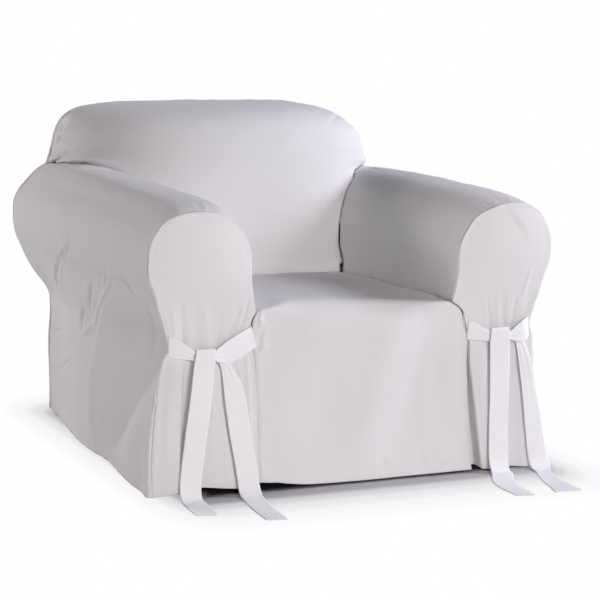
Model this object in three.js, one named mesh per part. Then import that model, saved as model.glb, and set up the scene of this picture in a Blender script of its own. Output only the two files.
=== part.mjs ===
// A one-piece slipcover for a rolled-arm club chair, as it hangs with the chair inside it.
// Millimetres, +Z up, +X to the sitter's left, +Y to the back of the chair, floor at Z = 0.
import * as THREE from "three";

// ---------------------------------------------------------------- driving dimensions
const CLOTH = 2.0; // thickness of the doubled-over cotton duck
const SEAM_GAP = 0.5; // between two panels that are sewn together
const DEPTH = 987; // front of the arms to the back of the cover
const CREST = 814.5; // height of the back
const CREST_SEAM = 930; // the seam that runs along the top of the back, from the front plane
const SEAT = 405; // height of the seat at its sides
const SEAT_CROWN = 13; // how much the seat rises in the middle
const SEAT_EDGE = 38; // how softly the seat turns down into its drop
const TAIL_REACH = 248; // how far the tie ends lie out in front of the arms

const ROLL = { across: 379, middle: 516 }; // the middle of an arm's roll
const FACE_FRONT = 243; // inner side of the arm at the seat

const STRAP = { wide: 50, thick: 1.8 }; // the ties

// Rows of the arm: the inner side, round the roll, then down the outside to the floor.
const INNER_ROWS = 2;
const ROLL_ROWS = 19;
const ROLL_END = -25; // degrees: where the cloth leaves the roll
const EAR_ANGLE = { left: 69.9, right: 65.6 }; // degrees: where an ear stands on the roll
const DEPTHS = [0, 0.026, 0.1, 0.18, 0.26, 0.35, 0.45, 0.55, 0.66, 0.77, 0.88, 1]; // front to back
const DEPTH_ROWS = DEPTHS.length - 1;
const EAR_ROW = 13; // the arm row that the outer corner of the back stands on
const ACROSS = 12; // columns of the seat and of the back
const FRONT_COLUMNS = 8; // columns of an arm front

// The outside of the arm below its roll: how far out the cloth hangs at three places.
const OUTSIDE = [
  // height, at the front seam, halfway back, at the back seam
  { height: 425, front: 480, middle: 486, back: 480 },
  { height: 385, front: 464, middle: 478, back: 456 },
  { height: 345, front: 451, middle: 467, back: 427 },
  { height: 310, front: 455, middle: 460, back: 413 },
  { height: 265, front: 464, middle: 458, back: 411 },
  { height: 210, front: 475, middle: 457, back: 413 },
  { height: 140, front: 485, middle: 457, back: 415 },
  { height: 70, front: 487, middle: 455, back: 414 },
  { height: 0.5, front: 487, middle: 451, back: 412 },
];

// Below the ties the cloth flares a little, and turns the front corner in a soft round.
const CORNER = [
  { height: 0, round: 17, left: 16, right: 0 },
  { height: 70, round: 17, left: 16.5, right: 0 },
  { height: 140, round: 16, left: 15, right: 0 },
  { height: 210, round: 12, left: 15, right: 1 },
  { height: 265, round: 7, left: 16, right: 5 },
  { height: 310, round: 3.5, left: 12, right: 9 },
  { height: 335, round: 1.5, left: 2.5, right: 4 },
  { height: 380, round: 0, left: 0, right: 0 },
];

// The outline of an arm's front round its roll: angle from straight out, and both arms' radius.
const FACE = [
  { angle: 180, left: 123, right: 123 },
  { angle: 160, left: 122.5, right: 119 },
  { angle: 138, left: 122, right: 114.7 },
  { angle: 118, left: 121, right: 112 },
  { angle: 101, left: 117.5, right: 111.5 },
  { angle: 90, left: 117, right: 113 },
  { angle: 71, left: 120, right: 119.5 },
  { angle: 46, left: 123, right: 124.5 },
  { angle: 23, left: 122.5, right: 124.5 },
  { angle: 5, left: 119, right: 124 },
  { angle: -25, left: 119, right: 123 },
];

// The roll fills out behind its front seam: how much, by depth, where it fills out most.
const FILL = [
  { depth: 0, left: 0, right: 0 },
  { depth: 12, left: 4.2, right: 3 },
  { depth: 34, left: 12, right: 8 },
  { depth: 70, left: 18.5, right: 11 },
  { depth: 140, left: 23.5, right: 14.5 },
  { depth: 260, left: 25.5, right: 18.5 },
  { depth: 490, left: 30, right: 22 },
  { depth: 713, left: 33, right: 18 },
  { depth: 863, left: 32, right: 9 },
  { depth: 990, left: 31, right: 7 },
];
const FILL_SHARE = [
  { angle: 180, share: 0.35 },
  { angle: 150, share: 0.5 },
  { angle: 105, share: 0.95 },
  { angle: 72, share: 0.96 },
  { angle: 60, share: 0.72 },
  { angle: 45, share: 0.47 },
  { angle: 27, share: 0.48 },
  { angle: 14, share: 0.42 },
  { angle: -25, share: 0.4 },
];

// The long soft fold down each outer side: where its valley and its crest lie, front to back.
const SIDE_FOLD = [
  { height: 0, leftValley: 380, leftCrest: 482, rightValley: 410, rightCrest: 545 },
  { height: 70, leftValley: 318, leftCrest: 478, rightValley: 346, rightCrest: 519 },
  { height: 190, leftValley: 183, leftCrest: 462, rightValley: 218, rightCrest: 442 },
  { height: 290, leftValley: 56, leftCrest: 410, rightValley: 93, rightCrest: 352 },
  { height: 345, leftValley: -30, leftCrest: 360, rightValley: 20, rightCrest: 300 },
  { height: 400, leftValley: -70, leftCrest: 305, rightValley: -18, rightCrest: 281 },
];
const FOLD = { sinks: 22, stands: 14, reach: 80 };

// The pleat at each end of the seat's front: the edge of the drop and the edge of the arm front.
const PLEATS = [
  // height, how deep the pleat goes back, then both edges' distance from the middle
  { height: 380, deep: 0, leftDrop: 254, leftArm: 254, rightDrop: 270, rightArm: 270 },
  { height: 345, deep: 14, leftDrop: 247, leftArm: 255, rightDrop: 278, rightArm: 285 },
  { height: 310, deep: 22, leftDrop: 241, leftArm: 248, rightDrop: 286, rightArm: 293 },
  { height: 265, deep: 32, leftDrop: 236, leftArm: 243, rightDrop: 285, rightArm: 295 },
  { height: 210, deep: 39, leftDrop: 232, leftArm: 239, rightDrop: 288, rightArm: 304 },
  { height: 140, deep: 43, leftDrop: 229, leftArm: 236, rightDrop: 292, rightArm: 315 },
  { height: 70, deep: 45, leftDrop: 226, leftArm: 233, rightDrop: 293, rightArm: 325 },
  { height: 0, deep: 46, leftDrop: 223, leftArm: 230, rightDrop: 308, rightArm: 336 },
];

// Where the inside back is sewn to the arm: angle round the roll, depth from the front plane.
const BACK_SEAM = [
  { angle: 180, left: 619, right: 619 },
  { angle: 163, left: 618, right: 624 },
  { angle: 146, left: 630, right: 640 },
  { angle: 125, left: 678, right: 664 },
  { angle: 112, left: 722, right: 700 },
  { angle: 99, left: 770, right: 744 },
  { angle: 92, left: 800, right: 765 },
  { angle: 77, left: 845, right: 810 },
  { angle: 70, left: 918, right: 850 },
  { angle: 66, left: 927, right: 880 },
  { angle: 61, left: 934, right: 895 },
  { angle: 48, left: 945, right: 930 },
  { angle: 20, left: 955, right: 955 },
  { angle: -25, left: 958, right: 958 },
];
const SEAT_CORNER = 586; // the same seam at the seat
const LOW_SEAM = [
  // share of the way up the arm's inner side
  { up: 0, left: SEAT_CORNER, right: SEAT_CORNER },
  { up: 0.5, left: 609, right: 613 },
  { up: 1, left: 619, right: 619 },
];

// The seat's edge along an arm, and how much fuller its front edge is towards its left.
const SEAT_LINE = [
  { depth: 0, height: 405 },
  { depth: 60, height: 407 },
  { depth: 97, height: 408 },
  { depth: 212, height: 403 },
  { depth: 364, height: 400 },
  { depth: 537, height: 395 },
  { depth: 586, height: 391 },
];
const SEAT_RISE = [
  { across: -243, rise: 0 },
  { across: -205, rise: 8 },
  { across: -160, rise: 17 },
  { across: -90, rise: 17 },
  { across: -10, rise: 10 },
  { across: 65, rise: 5 },
  { across: 142, rise: 3 },
  { across: 243, rise: 0 },
];

// The middle of the inside back, from the seat over the crest.
const BACK_FACE = [
  { height: 405, depth: 549 },
  { height: 500, depth: 576 },
  { height: 600, depth: 607 },
  { height: 680, depth: 640 },
  { height: 740, depth: 676 },
  { height: 775, depth: 712 },
  { height: 797, depth: 757 },
  { height: 810, depth: 820 },
  { height: 814.5, depth: 930 },
];
const BACK_ROUND = 2.05; // how square the inside back is in plan: 2 is an ellipse

// How high the hem hangs off the floor along the front, by place across.
const HEM = [
  { across: -490, lift: 11 },
  { across: -430, lift: 16 },
  { across: -367, lift: 22 },
  { across: -279, lift: 14 },
  { across: -232, lift: 21 },
  { across: -187, lift: 19 },
  { across: -165, lift: 15 },
  { across: -104, lift: 8 },
  { across: -28, lift: 4 },
  { across: 60, lift: 2 },
  { across: 490, lift: 2 },
];

// ---------------------------------------------------------------- small helpers
const lerp = (a, b, f) => a + (b - a) * f;
const clamp01 = (f) => Math.min(1, Math.max(0, f));
const smooth = (a, b, v) => {
  const f = clamp01((v - a) / (b - a));
  return f * f * (3 - 2 * f);
};
const radians = (degrees) => (degrees * Math.PI) / 180;
const sideName = (side) => (side < 0 ? "left" : "right");
const hill = (v, middle, half) => Math.exp(-(((v - middle) / half) ** 2));

/** The value of a column at a place along another column of a short table. */
function lookUp(table, alongColumn, column, at) {
  const rising = table[table.length - 1][alongColumn] > table[0][alongColumn];
  const rows = rising ? table : [...table].reverse();
  const next = rows.findIndex((row) => row[alongColumn] >= at);
  if (next === 0) return rows[0][column];
  if (next < 0) return rows[rows.length - 1][column];
  const low = rows[next - 1];
  const high = rows[next];
  const f = (at - low[alongColumn]) / (high[alongColumn] - low[alongColumn]);
  return lerp(low[column], high[column], f);
}

/** Place across, -1 to 1, with columns closer together towards the sides. */
function column(index) {
  const angle = radians(-90 + (180 * index) / ACROSS);
  const side = Math.sign(Math.sin(angle));
  return {
    across: side * Math.abs(Math.sin(angle)) ** (2 / BACK_ROUND),
    forward: Math.abs(Math.cos(angle)) ** (2 / BACK_ROUND),
  };
}

/** How far the middle of an inside-back row stands before its ends, 0 to 1, at one column. */
function bulge(row, { across, forward }) {
  return lerp(1 - Math.abs(across) ** 3.5, forward, smooth(6, 12, row));
}

/** How far a back row rises from its ends towards its middle height, 0 to 1, at one column. */
function rowRise(row, { across, forward }) {
  return lerp(forward ** 0.8, 1 - Math.abs(across) ** 4.5, smooth(14, 20, row));
}

/** The hem's lift off the floor, fading out above it. */
function hemLift(x, z) {
  return lookUp(HEM, "across", "lift", x) * (1 - smooth(0, 150, z));
}

// ---------------------------------------------------------------- the arm
const ARM_ROWS = INNER_ROWS + ROLL_ROWS + OUTSIDE.length;
const ROLL_START = INNER_ROWS;
const OUTSIDE_START = INNER_ROWS + ROLL_ROWS;

/** The angle round the roll of one of its rows: the ear stands on the same row of both arms. */
function rollAngle(side, row) {
  const ear = EAR_ANGLE[sideName(side)];
  if (row <= EAR_ROW) return lerp(180, ear, (row - ROLL_START) / (EAR_ROW - ROLL_START));
  return lerp(ear, ROLL_END, (row - EAR_ROW) / (OUTSIDE_START - EAR_ROW));
}

function rollPoint(side, angle, depth) {
  const name = sideName(side);
  const filled = lookUp(FILL, "depth", name, depth) * lookUp(FILL_SHARE, "angle", "share", angle);
  const radius = lookUp(FACE, "angle", name, angle) + filled;
  const turn = radians(angle);
  return [ROLL.across + radius * Math.cos(turn), ROLL.middle + radius * Math.sin(turn)];
}

/** Depth of the seam at the back end of an arm row. */
function armBackEnd(side, row) {
  const angle = row < OUTSIDE_START ? rollAngle(side, row) : ROLL_END;
  if (row >= ROLL_START) return lookUp(BACK_SEAM, "angle", sideName(side), angle);
  return lookUp(LOW_SEAM, "up", sideName(side), row / INNER_ROWS);
}

/** The long fold down an outer side: how far the cloth stands out there. */
function sideFold(side, height, depth) {
  const valley = lookUp(SIDE_FOLD, "height", `${sideName(side)}Valley`, height);
  const crest = lookUp(SIDE_FOLD, "height", `${sideName(side)}Crest`, height);
  let stand = lerp(-FOLD.sinks, FOLD.stands, clamp01((depth - valley) / (crest - valley)));
  if (depth < valley) stand = -FOLD.sinks * hill(depth, valley, FOLD.reach);
  if (depth > crest) stand = FOLD.stands * Math.exp((crest - depth) / FOLD.reach);
  const low = lerp(0.15, 1, smooth(0, 110, height));
  return stand * low * (1 - smooth(350, 450, height)) * smooth(0, 40, depth);
}

/** How far out the arm's outer side hangs. */
function outsideHalf(side, hang, depth) {
  const { height } = hang;
  const front = 1 - smooth(0, lerp(480, 330, smooth(60, 260, height)), depth);
  const tuck = smooth(540, 940, depth);
  const half = hang.front * front + hang.back * tuck + hang.middle * (1 - front - tuck);
  const atRoll = rollPoint(side, ROLL_END, depth)[0] - rollPoint(side, ROLL_END, 0)[0];
  const flare = lookUp(CORNER, "height", sideName(side), height) * Math.exp(-depth / 30);
  const round = lookUp(CORNER, "height", "round", height) * (1 - smooth(0, 24, depth));
  return half + atRoll * smooth(330, 464, height) + flare - round + sideFold(side, height, depth);
}

/** A point of the arm's outer surface. side is -1 for the left arm as seen, 1 for the right. */
function armPoint(side, row, depth) {
  if (row <= ROLL_START) {
    const up = row / INNER_ROWS;
    const bow = 4 * Math.sin(up * Math.PI);
    const half = lerp(FACE_FRONT, rollPoint(side, 180, depth)[0], up) + bow;
    const seat = lookUp(SEAT_LINE, "depth", "height", depth);
    return [side * half, depth, lerp(seat, ROLL.middle, up)];
  }
  if (row <= OUTSIDE_START) {
    const [x, z] = rollPoint(side, rollAngle(side, row), depth);
    return [side * x, depth, z];
  }
  const hang = OUTSIDE[row - OUTSIDE_START - 1];
  const x = side * outsideHalf(side, hang, depth);
  const low = (3.5 + 9 * smooth(780, 950, depth)) * (1 - smooth(0, 150, hang.height));
  const lift = lerp(low, hemLift(x, hang.height), 1 - smooth(0, 200, depth));
  return [x, depth, hang.height + lift];
}

/** An arm panel: rows of points round the arm, each from the front seam to the back seam. */
function armRows(side) {
  return Array.from({ length: ARM_ROWS + 1 }, (_, row) =>
    Array.from({ length: DEPTH_ROWS + 1 }, (_unused, step) =>
      armPoint(side, row, armBackEnd(side, row) * DEPTHS[step]),
    ),
  );
}

// ---------------------------------------------------------------- the arm front
const SEAT_ROW = OUTSIDE.length - 1; // the arm front's row at the height of the seat
const TOP_ROW = 15; // the row whose columns lie along the top of the roll

/** The inner edge of an arm front below the seat, and the edge of the drop beside it. */
function pleatEdge(side, row, owner) {
  if (row === SEAT_ROW) return [side * FACE_FRONT, 0, SEAT];
  const pleat = PLEATS[SEAT_ROW - 1 - row];
  const x = side * pleat[sideName(side) + owner];
  return [x, 0, pleat.height + hemLift(x, pleat.height)];
}

/** The end of an arm-front row at its inner side. */
function frontInner(side, row) {
  return row < SEAT_ROW ? pleatEdge(side, row, "Arm") : armPoint(side, row - SEAT_ROW, 0);
}

/** How far an arm front stands behind (+) or before (-) the front plane. */
function frontDepth(side, f, z) {
  const inside = Math.sin(Math.PI * f);
  const padded = -14 * inside * smooth(380, 520, z);
  const skirt = 1 - smooth(190, 340, z);
  const fold = side < 0 ? 14 * hill(f, 0.66, 0.12) - 7 * hill(f, 0.84, 0.08)
    : 9 * hill(f, 0.6, 0.12) - 3 * hill(f, 0.25, 0.14) - 5 * hill(f, 0.88, 0.08);
  const gathers = 2.2 * Math.sin(f * 9 * Math.PI) * hill(z, 390, 35);
  return padded + (fold * skirt + gathers) * Math.min(1, inside * 2.5) + 3 * inside * hill(z, 345, 45);
}

function frontRows(side) {
  return Array.from({ length: TOP_ROW + 1 }, (_, row) => {
    const inner = frontInner(side, row);
    const outer = armPoint(side, ARM_ROWS - row, 0);
    return Array.from({ length: FRONT_COLUMNS + 1 }, (_unused, step) => {
      if (row === TOP_ROW) return armPoint(side, TOP_ROW - SEAT_ROW + step, 0);
      if (step === 0) return inner;
      if (step === FRONT_COLUMNS) return outer;
      const f = step / FRONT_COLUMNS;
      const z = lerp(inner[2], outer[2], f);
      const x = lerp(inner[0], outer[0], f);
      const lift = row === 0 ? lookUp(HEM, "across", "lift", x) - z : 0;
      return [x, frontDepth(side, f, z), z + lift];
    });
  });
}

// ---------------------------------------------------------------- the seat and its drop
/** How far back and how far down the cloth lies on the seat's soft front edge. */
function overEdge(run, soft) {
  const turn = ((run / soft + 1) * Math.PI) / 4;
  return [soft * (1 - Math.sin(turn)), soft * (1 - Math.cos(turn))];
}

/** The softness and the height of the seat's front edge at a place across. */
function frontEdge(x, forward) {
  const soft = SEAT_EDGE * smooth(0, 110, FACE_FRONT - Math.abs(x));
  const rise = lookUp(SEAT_RISE, "across", "rise", x);
  return { soft, rise, crown: SEAT_CROWN * forward * Math.sin(Math.PI * 0.12) };
}

function deckRows() {
  const sides = [-1, 1].map((side) => armRows(side)[0]);
  return Array.from({ length: DEPTH_ROWS + 1 }, (_, step) => {
    const [left, right] = [sides[0][step], sides[1][step]];
    const back = DEPTHS[step];
    return Array.from({ length: ACROSS + 1 }, (_unused, index) => {
      const place = column(index);
      const edge = place.across < 0 ? left : right;
      if (index === 0 || index === ACROSS) return edge;
      const x = Math.abs(place.across) * edge[0];
      const { soft, rise, crown } = frontEdge(x, place.forward);
      if (edge[1] < soft) {
        const [y, down] = overEdge(-edge[1], soft);
        return [x, y, SEAT + rise + crown - down];
      }
      const meet = BACK_FACE[0].depth - SEAT_CORNER;
      const y = edge[1] + meet * bulge(0, place) * back ** 6;
      const inwards = (edge[1] - soft) / (SEAT_CORNER - soft);
      const dome = SEAT_CROWN * place.forward * Math.sin(Math.PI * Math.min(1, 0.12 + inwards));
      const fuller = rise * (1 - smooth(0, 0.7, inwards));
      return [x, y, SEAT + dome + fuller + (edge[2] - SEAT) * (1 - place.forward ** 0.8)];
    });
  });
}

function dropRows() {
  const top = deckRows()[0];
  return Array.from({ length: SEAT_ROW + 1 }, (_, row) => {
    if (row === SEAT_ROW) return top;
    const [left, right] = [pleatEdge(-1, row, "Drop"), pleatEdge(1, row, "Drop")];
    return Array.from({ length: ACROSS + 1 }, (_unused, index) => {
      if (index === 0) return left;
      if (index === ACROSS) return right;
      const { across, forward } = column(index);
      const f = (across + 1) / 2;
      const x = lerp(left[0], right[0], f);
      const z = PLEATS[SEAT_ROW - 1 - row].height;
      const { soft, rise, crown } = frontEdge(across * FACE_FRONT, forward);
      if (SEAT - z < soft) {
        const [y, down] = overEdge(SEAT - z, soft);
        return [x, y, SEAT + rise + crown - down];
      }
      const belly = -9 * Math.sin(Math.PI * f) * hill(z, 360, 110);
      const ridge = -7 * hill(x, lerp(-10, 120, z / SEAT), 60) * smooth(0, 120, z);
      const hollow = 6 * hill(x, lerp(95, 190, z / SEAT), 55) * smooth(0, 120, z);
      const fade = Math.min(1, 4 * f, 4 * (1 - f)) * smooth(0, 60, SEAT - z);
      const raised = (rise + crown) * (1 - smooth(0, 110, SEAT - z - soft));
      return [x, (belly + ridge + hollow) * fade, z + raised + hemLift(x, z)];
    });
  });
}

/** The cloth folded back between the drop and an arm front. */
function pleatRows(side) {
  return Array.from({ length: SEAT_ROW + 1 }, (_, row) => {
    const drop = pleatEdge(side, row, "Drop");
    const arm = pleatEdge(side, row, "Arm");
    const deep = row === SEAT_ROW ? 0 : PLEATS[SEAT_ROW - 1 - row].deep;
    const back = (point, f, y) => [lerp(drop[0], arm[0], f), y, point[2]];
    return [drop, back(drop, 0.06, deep * 0.55), back(drop, 0.25, deep), back(arm, 0.75, deep),
      back(arm, 0.94, deep * 0.55), arm];
  });
}

// ---------------------------------------------------------------- the inside back
const SHOULDER = [
  // the edge of each ear above the arm: half across, depth and height
  { left: [421, 930, 677], right: [440, 910, 660] },
  { left: [416, 930, 693], right: [438, 925, 683] },
  { left: [410, 930, 716], right: [429, 930, 707] },
  { left: [403, 930, 742], right: [414, 930, 733] },
  { left: [390, 930, 768], right: [394, 930, 756] },
  { left: [369, 930, 788], right: [366, 930, 776] },
  { left: [336, 930, 802], right: [328, 930, 791] },
  { left: [288, 930, 808.5], right: [272, 930, 803] },
];
const BACK_ROWS = EAR_ROW + SHOULDER.length;

/** The edge of the inside back: along the arm, then up the ear and round its shoulder. */
function backEdge(side, row) {
  if (row <= EAR_ROW) return armPoint(side, row, armBackEnd(side, row));
  const [half, depth, height] = SHOULDER[row - EAR_ROW - 1][sideName(side)];
  return [side * half, depth, height];
}

/** Height of the middle of an inside-back row: the rows lie closer together towards the crest. */
function faceHeight(row) {
  return lerp(SEAT, CREST, 1 - (1 - row / BACK_ROWS) ** 1.65);
}

function backRows() {
  return Array.from({ length: BACK_ROWS + 1 }, (_, row) => {
    const height = faceHeight(row);
    const depth = lookUp(BACK_FACE, "height", "depth", height);
    return Array.from({ length: ACROSS + 1 }, (_unused, index) => {
      const place = column(index);
      const edge = backEdge(Math.sign(place.across) || 1, row);
      if (index === 0 || index === ACROSS) return edge;
      return [
        Math.abs(place.across) * edge[0],
        lerp(edge[1], depth, bulge(row, place)),
        lerp(edge[2], height, rowRise(row, place)),
      ];
    });
  });
}

// ---------------------------------------------------------------- the outside back
/** The side edge of the outside back, from the floor to the crest. */
function outsideEdge(side, row) {
  const armRow = ARM_ROWS - row;
  if (armRow >= EAR_ROW) return armPoint(side, armRow, armBackEnd(side, armRow));
  return backEdge(side, EAR_ROW + (EAR_ROW - armRow));
}

function outsideRows() {
  const rows = ARM_ROWS - EAR_ROW + SHOULDER.length;
  return Array.from({ length: rows + 1 }, (_, row) => {
    const edges = [-1, 1].map((side) => outsideEdge(side, row));
    const level = (edges[0][2] + edges[1][2]) / 2;
    const top = (backEdge(-1, BACK_ROWS)[2] + backEdge(1, BACK_ROWS)[2]) / 2;
    const middle = level + (CREST - top) * smooth(0.6, 1, row / rows);
    const fall = Math.sqrt(1 - clamp01(1 - (top - level) / 75) ** 2);
    return Array.from({ length: ACROSS + 1 }, (_unused, index) => {
      const { across, forward } = column(index);
      const edge = edges[across < 0 ? 0 : 1];
      if (index === 0 || index === ACROSS) return edge;
      const y = lerp(edge[1], lerp(CREST_SEAM, DEPTH, fall), forward ** 0.45);
      const z = lerp(edge[2], middle, rowRise(row - rows + BACK_ROWS, { across, forward }));
      return [Math.abs(across) * edge[0], y, z];
    });
  });
}

// ---------------------------------------------------------------- the ties
// Each tie: its band runs from the seam to the knot, then its tail falls to the floor.
// x and z are at the middle of the strap, y is how far it stands from the front plane,
// turn is the direction of its width: 90 upright, 0 level.
const OUTER_TIE_LEFT = [
  { x: -450, y: -1.4, z: 341, wide: 47, turn: 90 },
  { x: -434, y: -5, z: 336, wide: 43, turn: 80 },
  { x: -413, y: -8, z: 328, wide: 31, turn: 74 },
  { x: -392, y: -9, z: 319, wide: 20, turn: 66 },
  { x: -368, y: -7.5, z: 315, wide: 18, turn: 72 },
  { x: -348, y: -6.5, z: 314, wide: 18, turn: 72 },
  { x: -332, y: -6.5, z: 311, wide: 20, turn: 60 },
  { x: -322, y: -7, z: 301, wide: 22, turn: 34 },
  { x: -316, y: -8, z: 286, wide: 25, turn: 20 },
  { x: -310, y: -11, z: 268, wide: 34, turn: 17 },
  { x: -304, y: -13, z: 249, wide: 43, turn: 16 },
  { x: -295, y: -13, z: 204, wide: 49, turn: 11 },
  { x: -285, y: -13, z: 146, wide: 50, turn: 10 },
  { x: -274, y: -13, z: 90, wide: 50, turn: 10 },
  { x: -265, y: -14, z: 35, wide: 50, turn: 9 },
  { x: -263, y: -22, z: 11, wide: 50, turn: 8 },
  { x: -266, y: -46, z: 1.8, wide: 50, turn: 4 },
  { x: -279, y: -124, z: 1.6, wide: 49, turn: -6 },
  { x: -289, y: -228, z: 1.6, wide: 46, turn: -14 },
];
const INNER_TIE_LEFT = [
  { x: -250, y: -1.4, z: 353, wide: 48, turn: 107 },
  { x: -277, y: -6, z: 340, wide: 50, turn: 114 },
  { x: -303, y: -9, z: 327, wide: 50, turn: 116 },
  { x: -324, y: -11, z: 317, wide: 44, turn: 116 },
  { x: -340, y: -12, z: 315, wide: 28, turn: 110 },
  { x: -354, y: -12, z: 317, wide: 15, turn: 90 },
  { x: -364, y: -13, z: 322, wide: 15, turn: 45 },
  { x: -368, y: -15, z: 331, wide: 26, turn: 12 },
  { x: -369.5, y: -19, z: 334, wide: 42, turn: 0 },
  { x: -370, y: -21.5, z: 326, wide: 46, turn: 0 },
  { x: -373, y: -19, z: 295, wide: 48, turn: 0 },
  { x: -376, y: -18, z: 262, wide: 49, turn: -1 },
  { x: -381, y: -17, z: 211, wide: 50, turn: -3 },
  { x: -387, y: -16, z: 163, wide: 50, turn: -5 },
  { x: -394, y: -15, z: 102, wide: 50, turn: -6 },
  { x: -399, y: -15, z: 62, wide: 50, turn: -6 },
  { x: -402, y: -17, z: 30, wide: 50, turn: -6 },
  { x: -403, y: -26, z: 9, wide: 50, turn: -6 },
  { x: -404, y: -50, z: 1.8, wide: 50, turn: -7 },
  { x: -408, y: -90, z: 1.6, wide: 50, turn: -9 },
  { x: -413, y: -142, z: 1.6, wide: 46, turn: -14 },
];
const OUTER_TIE_RIGHT = [
  { x: 446, y: -1.4, z: 337, wide: 46, turn: 96 },
  { x: 430, y: -10, z: 329, wide: 48, turn: 108 },
  { x: 414, y: -12, z: 322, wide: 42, turn: 112 },
  { x: 400, y: -12.5, z: 320, wide: 28, turn: 110 },
  { x: 386, y: -12.5, z: 320, wide: 19, turn: 104 },
  { x: 373, y: -12.5, z: 323, wide: 15, turn: 80 },
  { x: 364, y: -12.5, z: 328, wide: 15, turn: 45 },
  { x: 360.5, y: -14.5, z: 336.5, wide: 27, turn: 12 },
  { x: 359.3, y: -18.8, z: 341, wide: 42, turn: 0 },
  { x: 359.8, y: -22.8, z: 333, wide: 48, turn: 0 },
  { x: 361, y: -20, z: 303, wide: 51, turn: 0 },
  { x: 364, y: -17, z: 241, wide: 51, turn: 0 },
  { x: 365.5, y: -16, z: 174, wide: 50, turn: 0 },
  { x: 366.5, y: -15, z: 107, wide: 50, turn: -1 },
  { x: 368, y: -15, z: 56, wide: 50, turn: -2 },
  { x: 369, y: -17, z: 28, wide: 50, turn: -3 },
  { x: 368, y: -26, z: 9, wide: 50, turn: -6 },
  { x: 361, y: -50, z: 1.8, wide: 50, turn: -22 },
  { x: 341, y: -86, z: 1.6, wide: 50, turn: -28 },
  { x: 323, y: -126, z: 1.6, wide: 50, turn: -20 },
  { x: 311, y: -176, z: 1.6, wide: 50, turn: -13 },
  { x: 304, y: -232, z: 1.6, wide: 49, turn: -18 },
];
const INNER_TIE_RIGHT = [
  { x: 285, y: -1.4, z: 338, wide: 46, turn: 84 },
  { x: 301, y: -5, z: 333, wide: 40, turn: 79 },
  { x: 319, y: -8, z: 327, wide: 32, turn: 74 },
  { x: 338, y: -10, z: 321, wide: 24, turn: 68 },
  { x: 358, y: -9, z: 318, wide: 19, turn: 68 },
  { x: 380, y: -8, z: 318, wide: 18, turn: 76 },
  { x: 402, y: -6, z: 317, wide: 18, turn: 76 },
  { x: 416, y: -5.5, z: 311, wide: 20, turn: 56 },
  { x: 424, y: -6, z: 298, wide: 23, turn: 26 },
  { x: 430, y: -8.5, z: 278, wide: 28, turn: 16 },
  { x: 436, y: -12, z: 250, wide: 34, turn: 13 },
  { x: 445, y: -13, z: 201, wide: 37, turn: 10 },
  { x: 454, y: -13, z: 149, wide: 41, turn: 9 },
  { x: 463, y: -13, z: 99, wide: 46, turn: 9 },
  { x: 472, y: -13, z: 48, wide: 49, turn: 9 },
  { x: 476, y: -15, z: 26, wide: 50, turn: 8 },
  { x: 477, y: -24, z: 9, wide: 50, turn: 6 },
  { x: 472, y: -48, z: 1.8, wide: 50, turn: 16 },
  { x: 449, y: -98, z: 1.6, wide: 50, turn: 22 },
  { x: 431, y: -156, z: 1.6, wide: 50, turn: 10 },
  { x: 425, y: -246.6, z: 1.6, wide: 50, turn: -3 },
];
const TIE_STEPS = 2; // rows between two places of a tie's table

/** A strap as rows of three points, from its seam to its free end. */
function tieRows(table) {
  const middle = new THREE.CatmullRomCurve3(
    table.map(({ x, y, z }) => new THREE.Vector3(x, y, z)), false, "centripetal");
  const count = (table.length - 1) * TIE_STEPS;
  return Array.from({ length: count + 1 }, (_, row) => {
    const place = row / TIE_STEPS;
    const [a, b] = [table[Math.floor(place)], table[Math.min(table.length - 1, Math.ceil(place))]];
    const f = place - Math.floor(place);
    const point = middle.getPoint(row / count);
    const turn = radians(lerp(a.turn, b.turn, f));
    const half = lerp(a.wide, b.wide, f) / 2;
    const flat = 1 - smooth(2, 12, point.z);
    const lying = smooth(20, 45, -point.y) * flat;
    const level = new THREE.Vector3(Math.cos(turn), lying * Math.sin(turn), (1 - lying) * Math.sin(turn));
    level.normalize();
    return [-1, 0, 1].map((side) => {
      const edge = point.clone().addScaledVector(level, side * half);
      return [edge.x, edge.y, Math.max(edge.z, STRAP.thick / 2 + 0.1)];
    });
  });
}

// ---------------------------------------------------------------- from surfaces to solids
const keyOf = (point) => point.map((value) => Math.round(value * 50)).join();

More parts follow.
